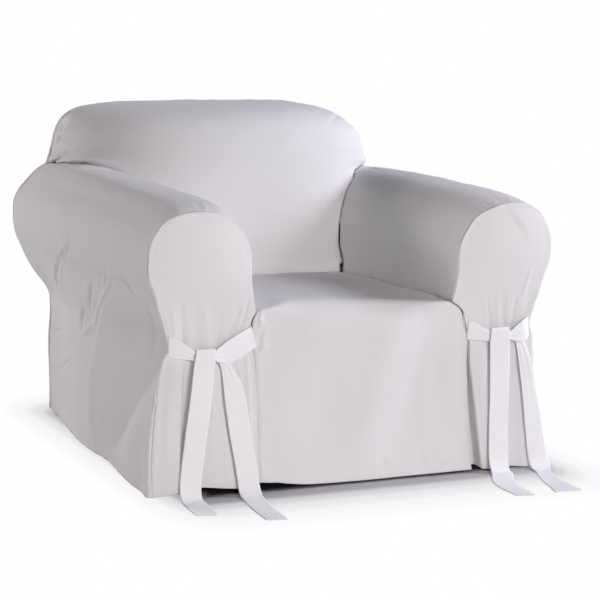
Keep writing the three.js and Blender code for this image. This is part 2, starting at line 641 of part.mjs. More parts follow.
/** One piece's surface: points that its patches share, and triangles that face outwards. */
class Surface {
  constructor(name) {
    this.name = name;
    this.points = [];
    this.triangles = [];
    this.places = new Map();
  }

  pointAt(point) {
    const key = keyOf(point);
    if (!this.places.has(key)) {
      this.places.set(key, this.points.length);
      this.points.push(new THREE.Vector3(...point));
    }
    return this.places.get(key);
  }

  addPatch(rows, turnedOver = false) {
    const grid = rows.map((row) => row.map((point) => this.pointAt(point)));
    for (let r = 0; r + 1 < grid.length; r += 1) {
      for (let c = 0; c + 1 < grid[r].length; c += 1) {
        const corners = [grid[r][c], grid[r][c + 1], grid[r + 1][c + 1], grid[r + 1][c]];
        if (turnedOver) corners.reverse();
        this.addTriangle(corners[0], corners[1], corners[2]);
        this.addTriangle(corners[0], corners[2], corners[3]);
      }
    }
    return this;
  }

  addTriangle(a, b, c) {
    if (a !== b && b !== c && a !== c) this.triangles.push([a, b, c]);
  }

  /** Each triangle's normal, its length twice the triangle's area. */
  faceNormals() {
    return this.triangles.map(([a, b, c]) => {
      const [p, q, s] = [this.points[a], this.points[b], this.points[c]];
      return q.clone().sub(p).cross(s.clone().sub(p));
    });
  }

  /** The normals of the triangles round each point. */
  normalsRound() {
    const normals = this.points.map(() => []);
    this.faceNormals().forEach((normal, face) => {
      this.triangles[face].forEach((point) => normals[point].push(normal));
    });
    return normals;
  }

  pointNormals() {
    return this.normalsRound().map((normals) =>
      normals.reduce((sum, normal) => sum.add(normal), new THREE.Vector3()).normalize());
  }

  /** The edges that only one triangle has, each with that triangle's normal and a shared name. */
  borders() {
    const normals = this.faceNormals();
    const edges = new Map();
    this.triangles.forEach((corners, face) => {
      corners.forEach((from, k) => {
        const to = corners[(k + 1) % 3];
        if (edges.delete(`${to},${from}`)) return;
        const ends = [from, to].map((point) => keyOf(this.points[point].toArray()));
        const normal = normals[face].clone().normalize();
        edges.set(`${from},${to}`, { from, to, normal, seam: ends.sort().join(" ") });
      });
    });
    return [...edges.values()];
  }
}

/** The shift that moves a point by the given distance along every one of some directions. */
function shiftAlong(directions, distance) {
  const shift = new THREE.Vector3();
  for (let round = 0; round < 60; round += 1) {
    directions.forEach((direction) => {
      shift.addScaledVector(direction, (distance - shift.dot(direction)) * 0.6);
    });
  }
  return shift.clampLength(0, 2.2 * distance);
}

/**
 * The faces of a sheet whose points are its outside, then its inside. Each wall face is split
 * the same way as the wall of the panel sewn to it, so that the two lie flat together.
 */
function closedFaces(surface, borders) {
  const back = surface.points.length;
  const faces = surface.triangles.flatMap(([a, b, c]) => [[a, b, c], [back + a, back + c, back + b]]);
  const key = (point) => keyOf(surface.points[point].toArray());
  borders.forEach(({ from, to }) => {
    if (key(from) < key(to)) faces.push([to, from, back + from], [to, back + from, back + to]);
    else faces.push([to, from, back + to], [from, back + from, back + to]);
  });
  return faces;
}

/** Turns a surface into a sheet: its outside, its inside and the wall round its edges. */
function sheetMesh(surface, shared, thickness, colour) {
  const borders = surface.borders();
  const ownNormals = surface.normalsRound();
  const pulls = surface.points.map(() => []);
  borders.forEach(({ from, to, normal, seam }) => {
    const sewn = shared.seams.get(seam);
    if (sewn.length < 2) return;
    const along = surface.points[to].clone().sub(surface.points[from]).normalize();
    const wall = sewn[0].clone().add(sewn[1]).normalize();
    const away = normal.clone().cross(along);
    away.addScaledVector(wall, -away.dot(wall)).addScaledVector(along, -away.dot(along)).normalize();
    [from, to].forEach((point) => pulls[point].push(away));
  });
  const outside = surface.points.map((point, k) =>
    point.clone().add(shiftAlong(pulls[k], SEAM_GAP / 2)));
  const inside = surface.points.map((point, k) => {
    const normals = pulls[k].length ? shared.normals.get(keyOf(point.toArray())) : ownNormals[k];
    return outside[k].clone().sub(shiftAlong(normals.map((n) => n.clone().normalize()), thickness));
  });
  const back = surface.points.length;
  return meshOf(surface.name, [...outside, ...inside], closedFaces(surface, borders), colour);
}

/** A strap: half its thickness to each side of its middle surface. */
function strapMesh(surface, colour) {
  const normals = surface.pointNormals();
  const faceOf = (way) => surface.points.map((point, k) =>
    point.clone().addScaledVector(normals[k], (way * STRAP.thick) / 2));
  const faces = closedFaces(surface, surface.borders());
  return meshOf(surface.name, [...faceOf(1), ...faceOf(-1)], faces, colour);
}

function meshOf(name, points, faces, colour) {
  const geometry = new THREE.BufferGeometry();
  const moved = points.flatMap(({ x, y, z }) => [x, y - (DEPTH - TAIL_REACH) / 2, z]);
  geometry.setAttribute("position", new THREE.Float32BufferAttribute(moved, 3));
  geometry.setIndex(faces.flat());
  geometry.computeVertexNormals();
  const material = new THREE.MeshStandardMaterial({ color: colour, roughness: 0.9, metalness: 0 });
  const mesh = new THREE.Mesh(geometry, material);
  mesh.name = name;
  return mesh;
}

// ---------------------------------------------------------------- the cover
const PANELS = [
  new Surface("arm_left").addPatch(armRows(-1)),
  new Surface("arm_right").addPatch(armRows(1), true),
  new Surface("arm_front_left").addPatch(frontRows(-1), true),
  new Surface("arm_front_right").addPatch(frontRows(1)),
  new Surface("seat").addPatch(deckRows()).addPatch(dropRows()).addPatch(pleatRows(-1), true)
    .addPatch(pleatRows(1)),
  new Surface("inside_back").addPatch(backRows()),
  new Surface("outside_back").addPatch(outsideRows(), true),
];
const TIES = [
  new Surface("tie_left_outer").addPatch(tieRows(OUTER_TIE_LEFT)),
  new Surface("tie_left_inner").addPatch(tieRows(INNER_TIE_LEFT)),
  new Surface("tie_right_outer").addPatch(tieRows(OUTER_TIE_RIGHT)),
  new Surface("tie_right_inner").addPatch(tieRows(INNER_TIE_RIGHT)),
];
const PANEL_COLOUR = 0xe4e1e2;
const TIE_COLOUR = 0xeae8ea;

// What panels know of each other: the normals that meet at a point, and those along a seam.
const shared = { normals: new Map(), seams: new Map() };
const note = (map, key, normal) => map.set(key, [...(map.get(key) ?? []), normal]);
PANELS.forEach((panel) => {
  panel.pointNormals().forEach((normal, k) =>
    note(shared.normals, keyOf(panel.points[k].toArray()), normal));
  panel.borders().forEach(({ seam, normal }) => note(shared.seams, seam, normal));
});

const cover = new THREE.Group();
PANELS.forEach((panel) => cover.add(sheetMesh(panel, shared, CLOTH, PANEL_COLOUR)));
TIES.forEach((tie) => cover.add(strapMesh(tie, TIE_COLOUR)));

export default cover;
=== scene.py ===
import math

import bmesh
import bpy
import numpy as np
from mathutils import Matrix, Vector

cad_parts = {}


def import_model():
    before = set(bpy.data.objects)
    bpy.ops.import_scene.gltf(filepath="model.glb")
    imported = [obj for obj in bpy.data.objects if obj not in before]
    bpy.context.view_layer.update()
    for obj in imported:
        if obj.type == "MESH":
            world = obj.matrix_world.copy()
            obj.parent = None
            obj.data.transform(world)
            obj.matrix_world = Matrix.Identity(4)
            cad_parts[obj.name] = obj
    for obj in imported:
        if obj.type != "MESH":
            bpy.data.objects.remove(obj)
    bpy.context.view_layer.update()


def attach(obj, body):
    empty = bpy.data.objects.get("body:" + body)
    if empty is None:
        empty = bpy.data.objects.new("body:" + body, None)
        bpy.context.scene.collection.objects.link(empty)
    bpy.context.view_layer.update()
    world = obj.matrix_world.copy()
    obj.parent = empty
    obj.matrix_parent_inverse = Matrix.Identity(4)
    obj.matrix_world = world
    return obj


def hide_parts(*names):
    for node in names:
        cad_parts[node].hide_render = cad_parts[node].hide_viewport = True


# A slipcover for a rolled-arm club chair, with the chair inside it left out.
# Every size below is in millimetres, measured from the front plane of the arms,
# the middle of the cover and the floor. MILLIMETRE and FRONT_PLANE take it to that frame.
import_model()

MILLIMETRE = 0.001  # in the shared frame's metres
FRONT_PLANE = -369.5  # depth of the arms' front plane in the shared frame

# ------------------------------------------------------------------ camera
CAMERA_PLACE = Vector((-1.9499, -4.3112, 1.1066))
CAMERA_YAW = 0.4305
CAMERA_PITCH = 0.1552
CAMERA_ROLL = 0.0166
CAMERA_LENS = 119.5
CAMERA_SENSOR = 36.0
CAMERA_REACH = 60.0


def camera():
    """The camera, at a long lens, from the front and a little to the left."""
    forward = Vector((
        math.sin(CAMERA_YAW) * math.cos(CAMERA_PITCH),
        math.cos(CAMERA_YAW) * math.cos(CAMERA_PITCH),
        -math.sin(CAMERA_PITCH),
    ))
    level = Vector((math.cos(CAMERA_YAW), -math.sin(CAMERA_YAW), 0.0))
    upright = level.cross(forward)
    across = math.cos(CAMERA_ROLL) * level + math.sin(CAMERA_ROLL) * upright
    up = math.cos(CAMERA_ROLL) * upright - math.sin(CAMERA_ROLL) * level
    made = bpy.data.objects.new("camera", bpy.data.cameras.new("camera"))
    turn = Matrix((across, up, -forward)).transposed().to_4x4()
    made.matrix_world = Matrix.Translation(CAMERA_PLACE) @ turn
    made.data.lens = CAMERA_LENS
    made.data.sensor_width = CAMERA_SENSOR
    made.data.clip_end = CAMERA_REACH
    bpy.context.collection.objects.link(made)
    bpy.context.scene.camera = made


camera()

# ------------------------------------------------------------------ sizes
CLOTH = 2.0  # how thick the duck is made
DEPTH = 987.0  # front of the arms to the back of the cover
CREST = 814.5  # height of the back
CREST_SEAM = 930.0  # depth of the seam along the top of the back
CREST_TURN = 75.0  # height in which the outside back turns down from that seam
SEAT = 405.0  # height of the seat's corners
SEAT_CROWN = 13.0  # how much higher its middle stands
SEAT_DOME = 0.12  # share of that crown's half wave which the front edge already has
SEAT_BACK = 549.0  # depth of its back edge in the middle
SEAT_CORNER = 586.0  # where the seat, an arm and the inside back meet
SEAT_EDGE = 38.0  # how softly the seat turns down into its drop
DROP_BELLY = 9.0  # how far the drop stands out in its middle
DROP_RIDGE = 7.0  # and along its one soft ridge
DROP_HOLLOW = 6.0  # how far it sinks beside that ridge
PLEAT_TOP = 380.0  # where the cloth beside the drop starts to fold back
ROLL_ACROSS = 379.0  # middle of an arm's roll
ROLL_MIDDLE = 516.0  # height of that middle
ROLL_RADIUS = 123.0
ROLL_END = -25.0  # degrees: where the cloth leaves the roll
ROLL_LEAVES = 464.0  # height of that place at the front
HALF_AT_ROLL = {"front": 490.5, "middle": 492.7, "back": 495.0}  # half widths at that height
LEAVING_EASE = 32.0  # how soon the cloth below the roll hangs straight
FACE_FRONT = 243.0  # inner side of the arm at the seat
FACE_BELLY = 4.0  # how far the inner side bows
FRONT_PAD = 14.0  # how far the middle of an arm front stands out round its roll
TIE_HEIGHT = 345.0  # where the ties cross the arm fronts
TIE_DRAW = 3.0  # how far they draw the cloth in
FLARE_REACH = 30.0  # how far back a front corner flares
CORNER_DEEP = 24.0  # how far back its round reaches
BACK_ROUND = 2.05  # how square the back is across: 2 would be an ellipse
LOW_ROUND = 3.5  # how square the back edge of the seat and the foot of the back are
TOP_ROUND = 4.5  # how square the top of the back is
EAR_FOOT = (12.5, 2.5)  # step at which the cloth passes the foot of an ear, and its reach
EAR_FOOT_ROUNDS = 60  # how often that stretch is evened out
BACK_FLAT_TOP = 1250.0  # where the inside back ends, counted up its cloth from the floor
HEM_DEEP = 17.0  # the turned-up hem
HEM_FADE = 150.0  # height at which the hem's unevenness is gone
HEM_LOWEST = 0.5
SIDE_LIFT = 3.5  # how far the hem hangs off the floor along the outer sides
REAR_LIFT = 9.0  # and how much more at their back ends
STRAP = 50.0
STRAP_THICK = 1.8

# Lengths of cloth round an arm: up its inner side, round its roll, and down its outer side.
INNER_GIRTH = ROLL_MIDDLE - SEAT
ROLL_GIRTH = 440.0
OUTER_GIRTH = 463.5
GIRTH = INNER_GIRTH + ROLL_GIRTH + OUTER_GIRTH

# The back is counted up in steps: first along an arm's inner side, then round its roll,
# and from EAR_STEP on along the edge of its ear.
FACE_STEPS = 2.0
ROLL_STEPS = 19.0
BACK_STEPS = FACE_STEPS + ROLL_STEPS
EAR_STEP = {-1: 12.2, 1: 12.6}
EAR_RUN = 290.0  # length of cloth along an ear's edge

# How many small faces each panel has, up or back by across.
ARM_GRID = (228, 200)
FRONT_GRID = (230, 112)
DECK_ROWS = 92
DROP_ROWS = 92
SEAT_COLUMNS = 112
PLEAT_COLUMNS = 15
BACK_GRID = (134, 168)
OUTSIDE_GRID = (136, 128)
TIE_GRID = (260, 18)


def columns(names, *rows):
    """A short table: each name with its column of numbers."""
    return {name: np.array(column, float) for name, column in zip(names.split(), zip(*rows))}


# How far out the outer side of an arm hangs, by height, at three depths.
OUTSIDE = columns(
    "height front middle back",
    (0, 487, 451, 412),
    (70, 487, 455, 414),
    (140, 485, 457, 415),
    (210, 475, 457, 413),
    (265, 464, 458, 411),
    (310, 455, 460, 413),
    (335, 451, 464, 422),
    (385, 464, 478, 456),
    (425, 480, 486, 480),
    (464, 490.5, 492.7, 495),
    (495, 500, 502, 505),
)
# Below the ties the cloth flares a little and turns the front corner in a soft round.
CORNER = columns(
    "height round left_flare right_flare",
    (0, 17, 16, 0),
    (70, 17, 16.5, 0),
    (140, 16, 15, 0),
    (210, 12, 15, 1),
    (265, 7, 16, 5),
    (310, 3.5, 12, 9),
    (335, 1.5, 2.5, 4),
    (380, 0, 0, 0),
)
# Depth of the pleat beside the drop, and how far out its edges are on the drop and on the arm.
PLEATS = columns(
    "height deep left_drop left_arm right_drop right_arm",
    (0, 46, 228, 230, 308, 336),
    (70, 45, 231, 233, 293, 325),
    (140, 43, 234, 236, 292, 315),
    (210, 39, 237, 239, 288, 304),
    (265, 32, 241, 243, 285, 295),
    (310, 22, 246, 248, 287, 292),
    (345, 14, 252.5, 255, 279, 283),
    (380, 0, 254, 254, 270, 270),
    (405, 0, 243, 243, 243, 243),
)
# The way a pleat's cloth runs, from the drop in behind it and out again to the arm front.
PLEAT_ROUTE = columns(
    "share across into",
    (0, 0, 0),
    (0.12, -0.06, 0.55),
    (0.3, 0, 1),
    (0.7, 1.12, 1),
    (0.88, 1.1, 0.55),
    (1, 1, 0),
)
# The seat's edge along an arm.
SEAT_LINE = columns(
    "depth height",
    (0, 405),
    (60, 407),
    (97, 408),
    (212, 403),
    (364, 400),
    (537, 395),
    (586, 391),
)
# The seat's front edge is fuller on its left.
SEAT_RISE = columns(
    "across rise",
    (-243, 0),
    (-205, 8),
    (-160, 17),
    (-90, 17),
    (-10, 10),
    (65, 5),
    (142, 3),
    (243, 0),
)
# Depth of the seam between an arm and the back: up its inner side, then round its roll.
LOW_SEAM = columns(
    "girth left right",
    (0, 586, 586),
    (28, 598, 592),
    (48, 607, 608),
    (72, 614, 624),
    (96, 618, 620),
    (111, 619, 619),
)
BACK_SEAM = columns(
    "angle left right",
    (-25, 958, 958),
    (20, 955, 955),
    (48, 945, 930),
    (61, 934, 895),
    (66, 927, 880),
    (70, 918, 850),
    (77, 845, 810),
    (92, 800, 765),
    (99, 770, 744),
    (112, 722, 700),
    (125, 678, 664),
    (146, 630, 640),
    (163, 618, 624),
    (180, 619, 619),
)
# How the inside back leans in its middle.
BACK_FACE = columns(
    "height depth",
    (405, 549),
    (500, 576),
    (600, 607),
    (680, 640),
    (740, 676),
    (775, 712),
    (797, 757),
    (810, 820),
    (814.5, 930),
)
# How much cloth there is in each step up the inside back.
BACK_STEP_LENGTHS = columns(
    "step length",
    (0, 56),
    (2, 50),
    (3, 36),
    (21, 36),
)
# The long soft fold down each outer side: it stands at its crest and sinks into its valley.
FOLD_SINKS = 22.0
FOLD_STANDS = 14.0
FOLD_FADE = 80.0
SIDE_FOLD_LEFT = columns(
    "height valley crest",
    (0, 380, 482),
    (70, 318, 478),
    (190, 183, 462),
    (290, 56, 410),
    (345, -30, 360),
    (400, -70, 305),
    (460, -90, 280),
)
SIDE_FOLD_RIGHT = columns(
    "height valley crest",
    (0, 410, 545),
    (120, 300, 500),
    (240, 160, 400),
    (345, 20, 300),
    (460, -60, 260),
)
# Below its tie an arm front hangs in folds: share of its width outwards, and how far back.
FRONT_FOLD_LEFT = columns(
    "share set_back",
    (0, 0),
    (0.08, -1),
    (0.25, 0),
    (0.42, 1),
    (0.56, 8),
    (0.68, 14),
    (0.72, 10),
    (0.76, -5),
    (0.84, -7),
    (1, 0),
)
FRONT_FOLD_RIGHT = columns(
    "share set_back",
    (0, 0),
    (0.14, -3),
    (0.32, -3),
    (0.46, 2),
    (0.58, 9),
    (0.68, 6),
    (0.8, -3),
    (0.9, -5),
    (1, 0),
)
# How far the hem hangs off the floor across the front.
HEM = columns(
    "across lift",
    (-490, 11),
    (-430, 16),
    (-367, 22),
    (-279, 14),
    (-232, 21),
    (-187, 19),
    (-165, 15),
    (-104, 8),
    (-28, 6),
    (60, 5.5),
    (300, 6),
    (400, 3),
    (490, 2),
)
# The outline of an arm's front round its roll: angle from straight out, and radius.
FACE_LEFT = columns(
    "angle radius",
    (-25, 119),
    (5, 119),
    (23, 122.5),
    (46, 123),
    (71, 120),
    (90, 117),
    (101, 117.5),
    (118, 121),
    (138, 122),
    (160, 122.5),
    (180, 123),
)
FACE_RIGHT = columns(
    "angle radius",
    (-25, 123),
    (10, 124),
    (38, 125),
    (60, 122.5),
    (78, 116.5),
    (95, 112),
    (113, 111.5),
    (133, 114),
    (150, 116.5),
    (169, 121),
    (180, 123),
)
# The roll fills out behind its front seam: how much, by depth, at its top.
FILL_LEFT = columns(
    "depth grow",
    (0, 0),
    (12, 4.2),
    (34, 12),
    (70, 18.5),
    (140, 23.5),
    (260, 25.5),
    (490, 30),
    (713, 33),
    (990, 31),
)
FILL_RIGHT = columns(
    "depth grow",
    (0, 0),
    (12, 3),
    (36, 8),
    (68, 11),
    (134, 14.5),
    (205, 17.5),
    (314, 20),
    (430, 22),
    (650, 20.5),
    (780, 14.5),
    (863, 9),
    (990, 7),
)
FILL_SHARE = columns(
    "angle share",
    (-25, 0.4),
    (0, 0.38),
    (14, 0.42),
    (27, 0.48),
    (45, 0.47),
    (60, 0.72),
    (72, 0.96),
    (105, 0.95),
    (150, 0.5),
    (180, 0.35),
)
# The edge of an ear, from the arm up round the shoulder to the crest.
EAR_LEFT = columns(
    "step across depth height",
    (13, 426, 925, 665),
    (14, 421, 930, 677),
    (15, 416, 930, 693),
    (16, 410, 930, 716),
    (17, 403, 930, 742),
    (18, 390, 930, 768),
    (19, 369, 930, 788),
    (20, 336, 930, 802),
    (21, 288, 930, 808.5),
)
EAR_RIGHT = columns(
    "step across depth height",
    (13.3, 437, 897, 644),
    (14, 440, 910, 660),
    (15, 438, 925, 683),
    (16, 429, 930, 707),
    (17, 414, 930, 733),
    (18, 394, 930, 756),
    (19, 366, 930, 776),
    (20, 328, 930, 791),
    (21, 272, 930, 803),
)


# ------------------------------------------------------------------ small helpers
def lerp(a, b, share):
    return a + (b - a) * share


def smooth(a, b, v):
    """Rises softly from 0 at a to 1 at b."""
    share = np.clip((v - a) / (b - a), 0.0, 1.0)
    return share * share * (3 - 2 * share)


def hill(v, middle, half):
    """1 at the middle, falling softly away on both sides."""
    return np.exp(-(((v - middle) / half) ** 2))


def rounded(across):
    """1 in the middle of the cover and 0 at both sides, like a squarish ellipse."""
    return (1 - np.abs(across) ** BACK_ROUND) ** (1 / BACK_ROUND)


def unit(vectors):
    return vectors / np.maximum(np.linalg.norm(vectors, axis=-1, keepdims=True), 1e-9)


def through(places, values):
    """A smooth line through a few places, which doesn't overshoot between them."""
    gaps = np.diff(places)
    slopes = np.diff(values) / gaps
    lean = np.concatenate([slopes[:1], np.zeros(len(slopes) - 1), slopes[-1:]])
    for k in range(1, len(slopes)):
        before, after = slopes[k - 1], slopes[k]
        if before * after > 0:
            a, b = 2 * gaps[k] + gaps[k - 1], gaps[k] + 2 * gaps[k - 1]
            lean[k] = (a + b) / (a / before + b / after)

    def at(v):
        v = np.clip(v, places[0], places[-1])
        k = np.clip(np.searchsorted(places, v) - 1, 0, len(gaps) - 1)
        t = (v - places[k]) / gaps[k]
        rise = (2 * t - 3) * t * t
        return (
            (rise + 1) * values[k]
            + ((t - 2) * t + 1) * t * gaps[k] * lean[k]
            - rise * values[k + 1]
            + (t - 1) * t * t * gaps[k] * lean[k + 1]
        )

    return at


def line(table, along, column):
    """One column of a table as a smooth line along another."""
    return through(table[along], table[column])


SIDES = {-1: "left", 1: "right"}


def both_columns(table, along, ending=""):
    """A table's left and right columns as smooth lines, by side."""
    return {side: line(table, along, word + ending) for side, word in SIDES.items()}


def both_tables(left, right, along, column):
    """The same column of a left and a right table as smooth lines, by side."""
    return {-1: line(left, along, column), 1: line(right, along, column)}


hem_at = line(HEM, "across", "lift")
out_front = line(OUTSIDE, "height", "front")
out_middle = line(OUTSIDE, "height", "middle")
out_back = line(OUTSIDE, "height", "back")
corner_at = line(CORNER, "height", "round")
seat_line = line(SEAT_LINE, "depth", "height")
seat_rise = line(SEAT_RISE, "across", "rise")
back_face_at = line(BACK_FACE, "height", "depth")
pleat_deep = line(PLEATS, "height", "deep")
fill_share = line(FILL_SHARE, "angle", "share")
FLARE = both_columns(CORNER, "height", "_flare")
PLEAT_DROP_EDGE = both_columns(PLEATS, "height", "_drop")
PLEAT_ARM_EDGE = both_columns(PLEATS, "height", "_arm")
LOW_SEAM_AT = both_columns(LOW_SEAM, "girth")
BACK_SEAM_AT = both_columns(BACK_SEAM, "angle")
FOLD_CREST = both_tables(SIDE_FOLD_LEFT, SIDE_FOLD_RIGHT, "height", "crest")
FOLD_VALLEY = both_tables(SIDE_FOLD_LEFT, SIDE_FOLD_RIGHT, "height", "valley")
FRONT_FOLD = both_tables(FRONT_FOLD_LEFT, FRONT_FOLD_RIGHT, "share", "set_back")
FACE = both_tables(FACE_LEFT, FACE_RIGHT, "angle", "radius")
FILL = both_tables(FILL_LEFT, FILL_RIGHT, "depth", "grow")


def hem_lift(x, z):
    """How far the hem hangs off the floor, fading out above it."""
    return hem_at(x) * (1 - smooth(0, HEM_FADE, z))


def graded(count, length, start_seam=True, end_seam=True, fine=9.0, reach=7.0):
    """count + 1 places from 0 to 1, closer together at the ends that are sewn."""
    t = np.linspace(0, 1, 4001)
    close = np.ones_like(t)
    if start_seam:
        close += fine * np.exp(-t * length / reach)
    if end_seam:
        close += fine * np.exp(-(1 - t) * length / reach)
    total = np.concatenate([[0], np.cumsum((close[1:] + close[:-1]) / 2)])
    return np.interp(np.linspace(0, total[-1], count + 1), total, t)


def rumple(a, b, size, seed):
    """Uneven low swells over two lengths of the cloth, between about -1 and 1."""
    rng = np.random.default_rng(seed)
    total = np.zeros(np.broadcast(a, b).shape)
    for _ in range(9):
        turn = rng.uniform(0, math.tau)
        wave = math.tau / (size * rng.uniform(0.7, 1.6))
        drift = rng.uniform(0, math.tau)
        total += np.sin(wave * (a * math.cos(turn) + b * math.sin(turn)) + drift)
    return total / 4.2


# ------------------------------------------------------------------ creases
def off_path(a, b, path):
    """For each place: signed distance from a path, and how far along it, 0 to 1."""
    path = np.array(path, float)
    legs = np.linalg.norm(np.diff(path, axis=0), axis=1)
    starts = np.concatenate([[0], np.cumsum(legs)])
    best = np.full(a.shape, 1e9)
    signed = np.zeros(a.shape)
    along = np.zeros(a.shape)
    for k, leg in enumerate(legs):
        way = (path[k + 1] - path[k]) / leg
        da, db = a - path[k][0], b - path[k][1]
        raw = da * way[0] + db * way[1]
        run = np.clip(raw, 0, leg)
        side = da * way[1] - db * way[0]
        gap = np.hypot(da - run * way[0], db - run * way[1])
        nearer = gap < best
        best = np.where(nearer, gap, best)
        signed = np.where(nearer, np.where(side < 0, -gap, gap), signed)
        along = np.where(nearer, (starts[k] + run) / starts[-1], along)
    return signed, along


def creases(a, b, table):
    """How far the cloth sinks (+) or stands (-) at each place for a table of creases.

    Each row: kind, depth, width, ends, path. Ends names the ends that fade: both, first,
    last or none. A trough has low shoulders; a step lies higher on the path's left.
    """
    total = np.zeros(a.shape)
    for kind, depth, width, ends, path in table:
        signed, along = off_path(a, b, path)
        fade = np.ones(a.shape)
        if ends in ("both", "first"):
            fade *= smooth(0.0, 0.35, along)
        if ends in ("both", "last"):
            fade *= 1 - smooth(0.55, 1.0, along)
        spread = width * (0.75 + 0.5 * along)
        x = signed / spread
        if kind == "trough":
            shape = np.exp(-np.abs(x) ** 1.7) - 0.38 * np.exp(-((x / 2.3) ** 2))
        else:
            shape = 0.5 * np.tanh(x * 1.6) * np.exp(-((x / 3.2) ** 2))
        total += depth * fade * shape
    return total


# ------------------------------------------------------------------ the arm
def roll_radius(side, depth, angle):
    """How thick an arm's roll is at a depth and an angle round it."""
    return FACE[side](angle) + FILL[side](depth) * fill_share(angle)


def girth_angle(girth):
    """The angle round the roll at a length of cloth round the arm."""
    return lerp(180.0, ROLL_END, np.clip((girth - INNER_GIRTH) / ROLL_GIRTH, 0, 1))


def arm_back_end(side, girth):
    """Depth of the seam at the back end of an arm, by place round the arm."""
    low, high = LOW_SEAM_AT[side](girth), BACK_SEAM_AT[side](girth_angle(girth))
    return np.where(girth < INNER_GIRTH, low, high)


def side_fold(side, height, depth):
    """The long fold down an outer side: how far the cloth stands out there."""
    crest, valley = FOLD_CREST[side](height), FOLD_VALLEY[side](height)
    before = -FOLD_SINKS * hill(np.minimum(depth - valley, 0), 0, FOLD_FADE)
    rising = np.clip((depth - valley) / (crest - valley), 0, 1)
    after = FOLD_STANDS * np.exp(-np.maximum(depth - crest, 0) / FOLD_FADE)
    stand = np.where(depth < valley, before, lerp(-FOLD_SINKS, FOLD_STANDS, rising))
    stand = np.where(depth > crest, after, stand)
    low = lerp(0.15, 1, smooth(0, 110, height))
    return stand * low * (1 - smooth(350, 450, height)) * smooth(0, 40, depth)


def hang(side, height, depth):
    """How far out the arm's outer side hangs, before its folds."""
    front = 1 - smooth(0, lerp(480, 330, smooth(60, 260, height)), depth)
    tuck = smooth(540, 940, depth)
    half = (
        out_front(height) * front
        + out_back(height) * tuck
        + out_middle(height) * (1 - front - tuck)
    )
    at_roll = (
        HALF_AT_ROLL["front"] * front
        + HALF_AT_ROLL["back"] * tuck
        + HALF_AT_ROLL["middle"] * (1 - front - tuck)
    )
    return half + (roll_end(side, depth)[0] - at_roll) * smooth(330, ROLL_LEAVES, height)


def roll_end(side, depth, angle=ROLL_END):
    """Where the cloth leaves the roll: how far out, and how high."""
    radius, turn = roll_radius(side, depth, angle), math.radians(angle)
    return ROLL_ACROSS + radius * math.cos(turn), ROLL_MIDDLE + radius * math.sin(turn)


def outside_half(side, height, depth):
    """How far out the arm's outer side hangs."""
    out, top = roll_end(side, depth)
    out_above, above = roll_end(side, depth, ROLL_END + 1)
    leaving = (out_above - out) / (above - top)
    hanging = (hang(side, top, depth) - hang(side, top - 3, depth)) / 3
    below = np.clip(top - height, 0, None)
    eased = (leaving - hanging) * below * np.exp(-below / LEAVING_EASE)
    corner = FLARE[side](height) * np.exp(-depth / FLARE_REACH)
    rounding = 1 - np.sqrt(1 - np.clip(1 - depth / CORNER_DEEP, 0, 1) ** 2)
    corner = corner - corner_at(height) * rounding
    return hang(side, height, depth) - eased + corner + side_fold(side, height, depth)


def arm_point(side, girth, depth):
    """A place on an arm: girth runs from the seat over the roll to the floor."""
    girth, depth = np.broadcast_arrays(girth, depth)
    up = np.clip(girth / INNER_GIRTH, 0, 1)
    radius = roll_radius(side, depth, girth_angle(girth))
    angle = np.radians(girth_angle(girth))
    down = np.clip((girth - INNER_GIRTH - ROLL_GIRTH) / OUTER_GIRTH, 0, 1)
    low_radius = roll_radius(side, depth, ROLL_END)
    roll_low = ROLL_MIDDLE + low_radius * math.sin(math.radians(ROLL_END))
    height = lerp(roll_low, HEM_LOWEST, down)
    roll_face = ROLL_ACROSS - roll_radius(side, depth, 180.0)
    face_x = lerp(FACE_FRONT, roll_face, up) + FACE_BELLY * np.sin(up * math.pi)
    on_face = girth <= INNER_GIRTH
    on_roll = girth <= INNER_GIRTH + ROLL_GIRTH
    x = np.where(on_roll, ROLL_ACROSS + radius * np.cos(angle), outside_half(side, height, depth))
    x = side * np.where(on_face, face_x, x)
    z = np.where(on_roll, ROLL_MIDDLE + radius * np.sin(angle), height)
    z = np.where(on_face, lerp(seat_line(depth), ROLL_MIDDLE, up), z)
    side_lift = (SIDE_LIFT + REAR_LIFT * smooth(780, 950, depth)) * (1 - smooth(0, HEM_FADE, z))
    lift = lerp(side_lift, hem_lift(x, z), 1 - smooth(0, 200, depth))
    z = z + np.where(on_roll, 0, lift)
    return np.stack([x, depth + 0 * x, z], axis=-1)


# ------------------------------------------------------------------ panels
PANELS = {}


def panel(name, points, flat, turned, sewn):
    """Keeps a panel: its places row by row, its flat coordinates and its sewn sides."""
    PANELS[name] = {"points": points, "flat": flat, "turned": turned, "sewn": sewn}


def facing(name):
    """The way each place of a panel faces, outwards."""
    kept = PANELS[name]
    points = kept["points"]
    along = np.gradient(points, axis=1)
    over = np.gradient(points, axis=0)
    normals = unit(np.cross(along, over))
    return -normals if kept["turned"] else normals


def press(name, sink):
    """Sinks each place of a panel into the cloth by its own amount."""
    PANELS[name]["points"] = PANELS[name]["points"] - facing(name) * sink[..., None]


def arm_panel(side):
    """An arm in one length: up its inner side, over its roll and down to its hem."""
    girths = GIRTH * graded(ARM_GRID[0], GIRTH, True, False, 4.0)
    steps = graded(ARM_GRID[1], 900, True, True, 4.0)
    girth, step = np.meshgrid(girths, steps, indexing="ij")
    depth = arm_back_end(side, girth) * step
    points = arm_point(side, girth, depth)
    sewn = ("first_row", "first_column", "last_column")
    panel("arm_" + SIDES[side], points, (girth, depth), side > 0, sewn)


def face_place(side, angle):
    """A place on the outline of an arm's front, round its roll."""
    radius, turn = FACE[side](angle), np.radians(angle)
    return ROLL_ACROSS + radius * np.cos(turn), ROLL_MIDDLE + radius * np.sin(turn)


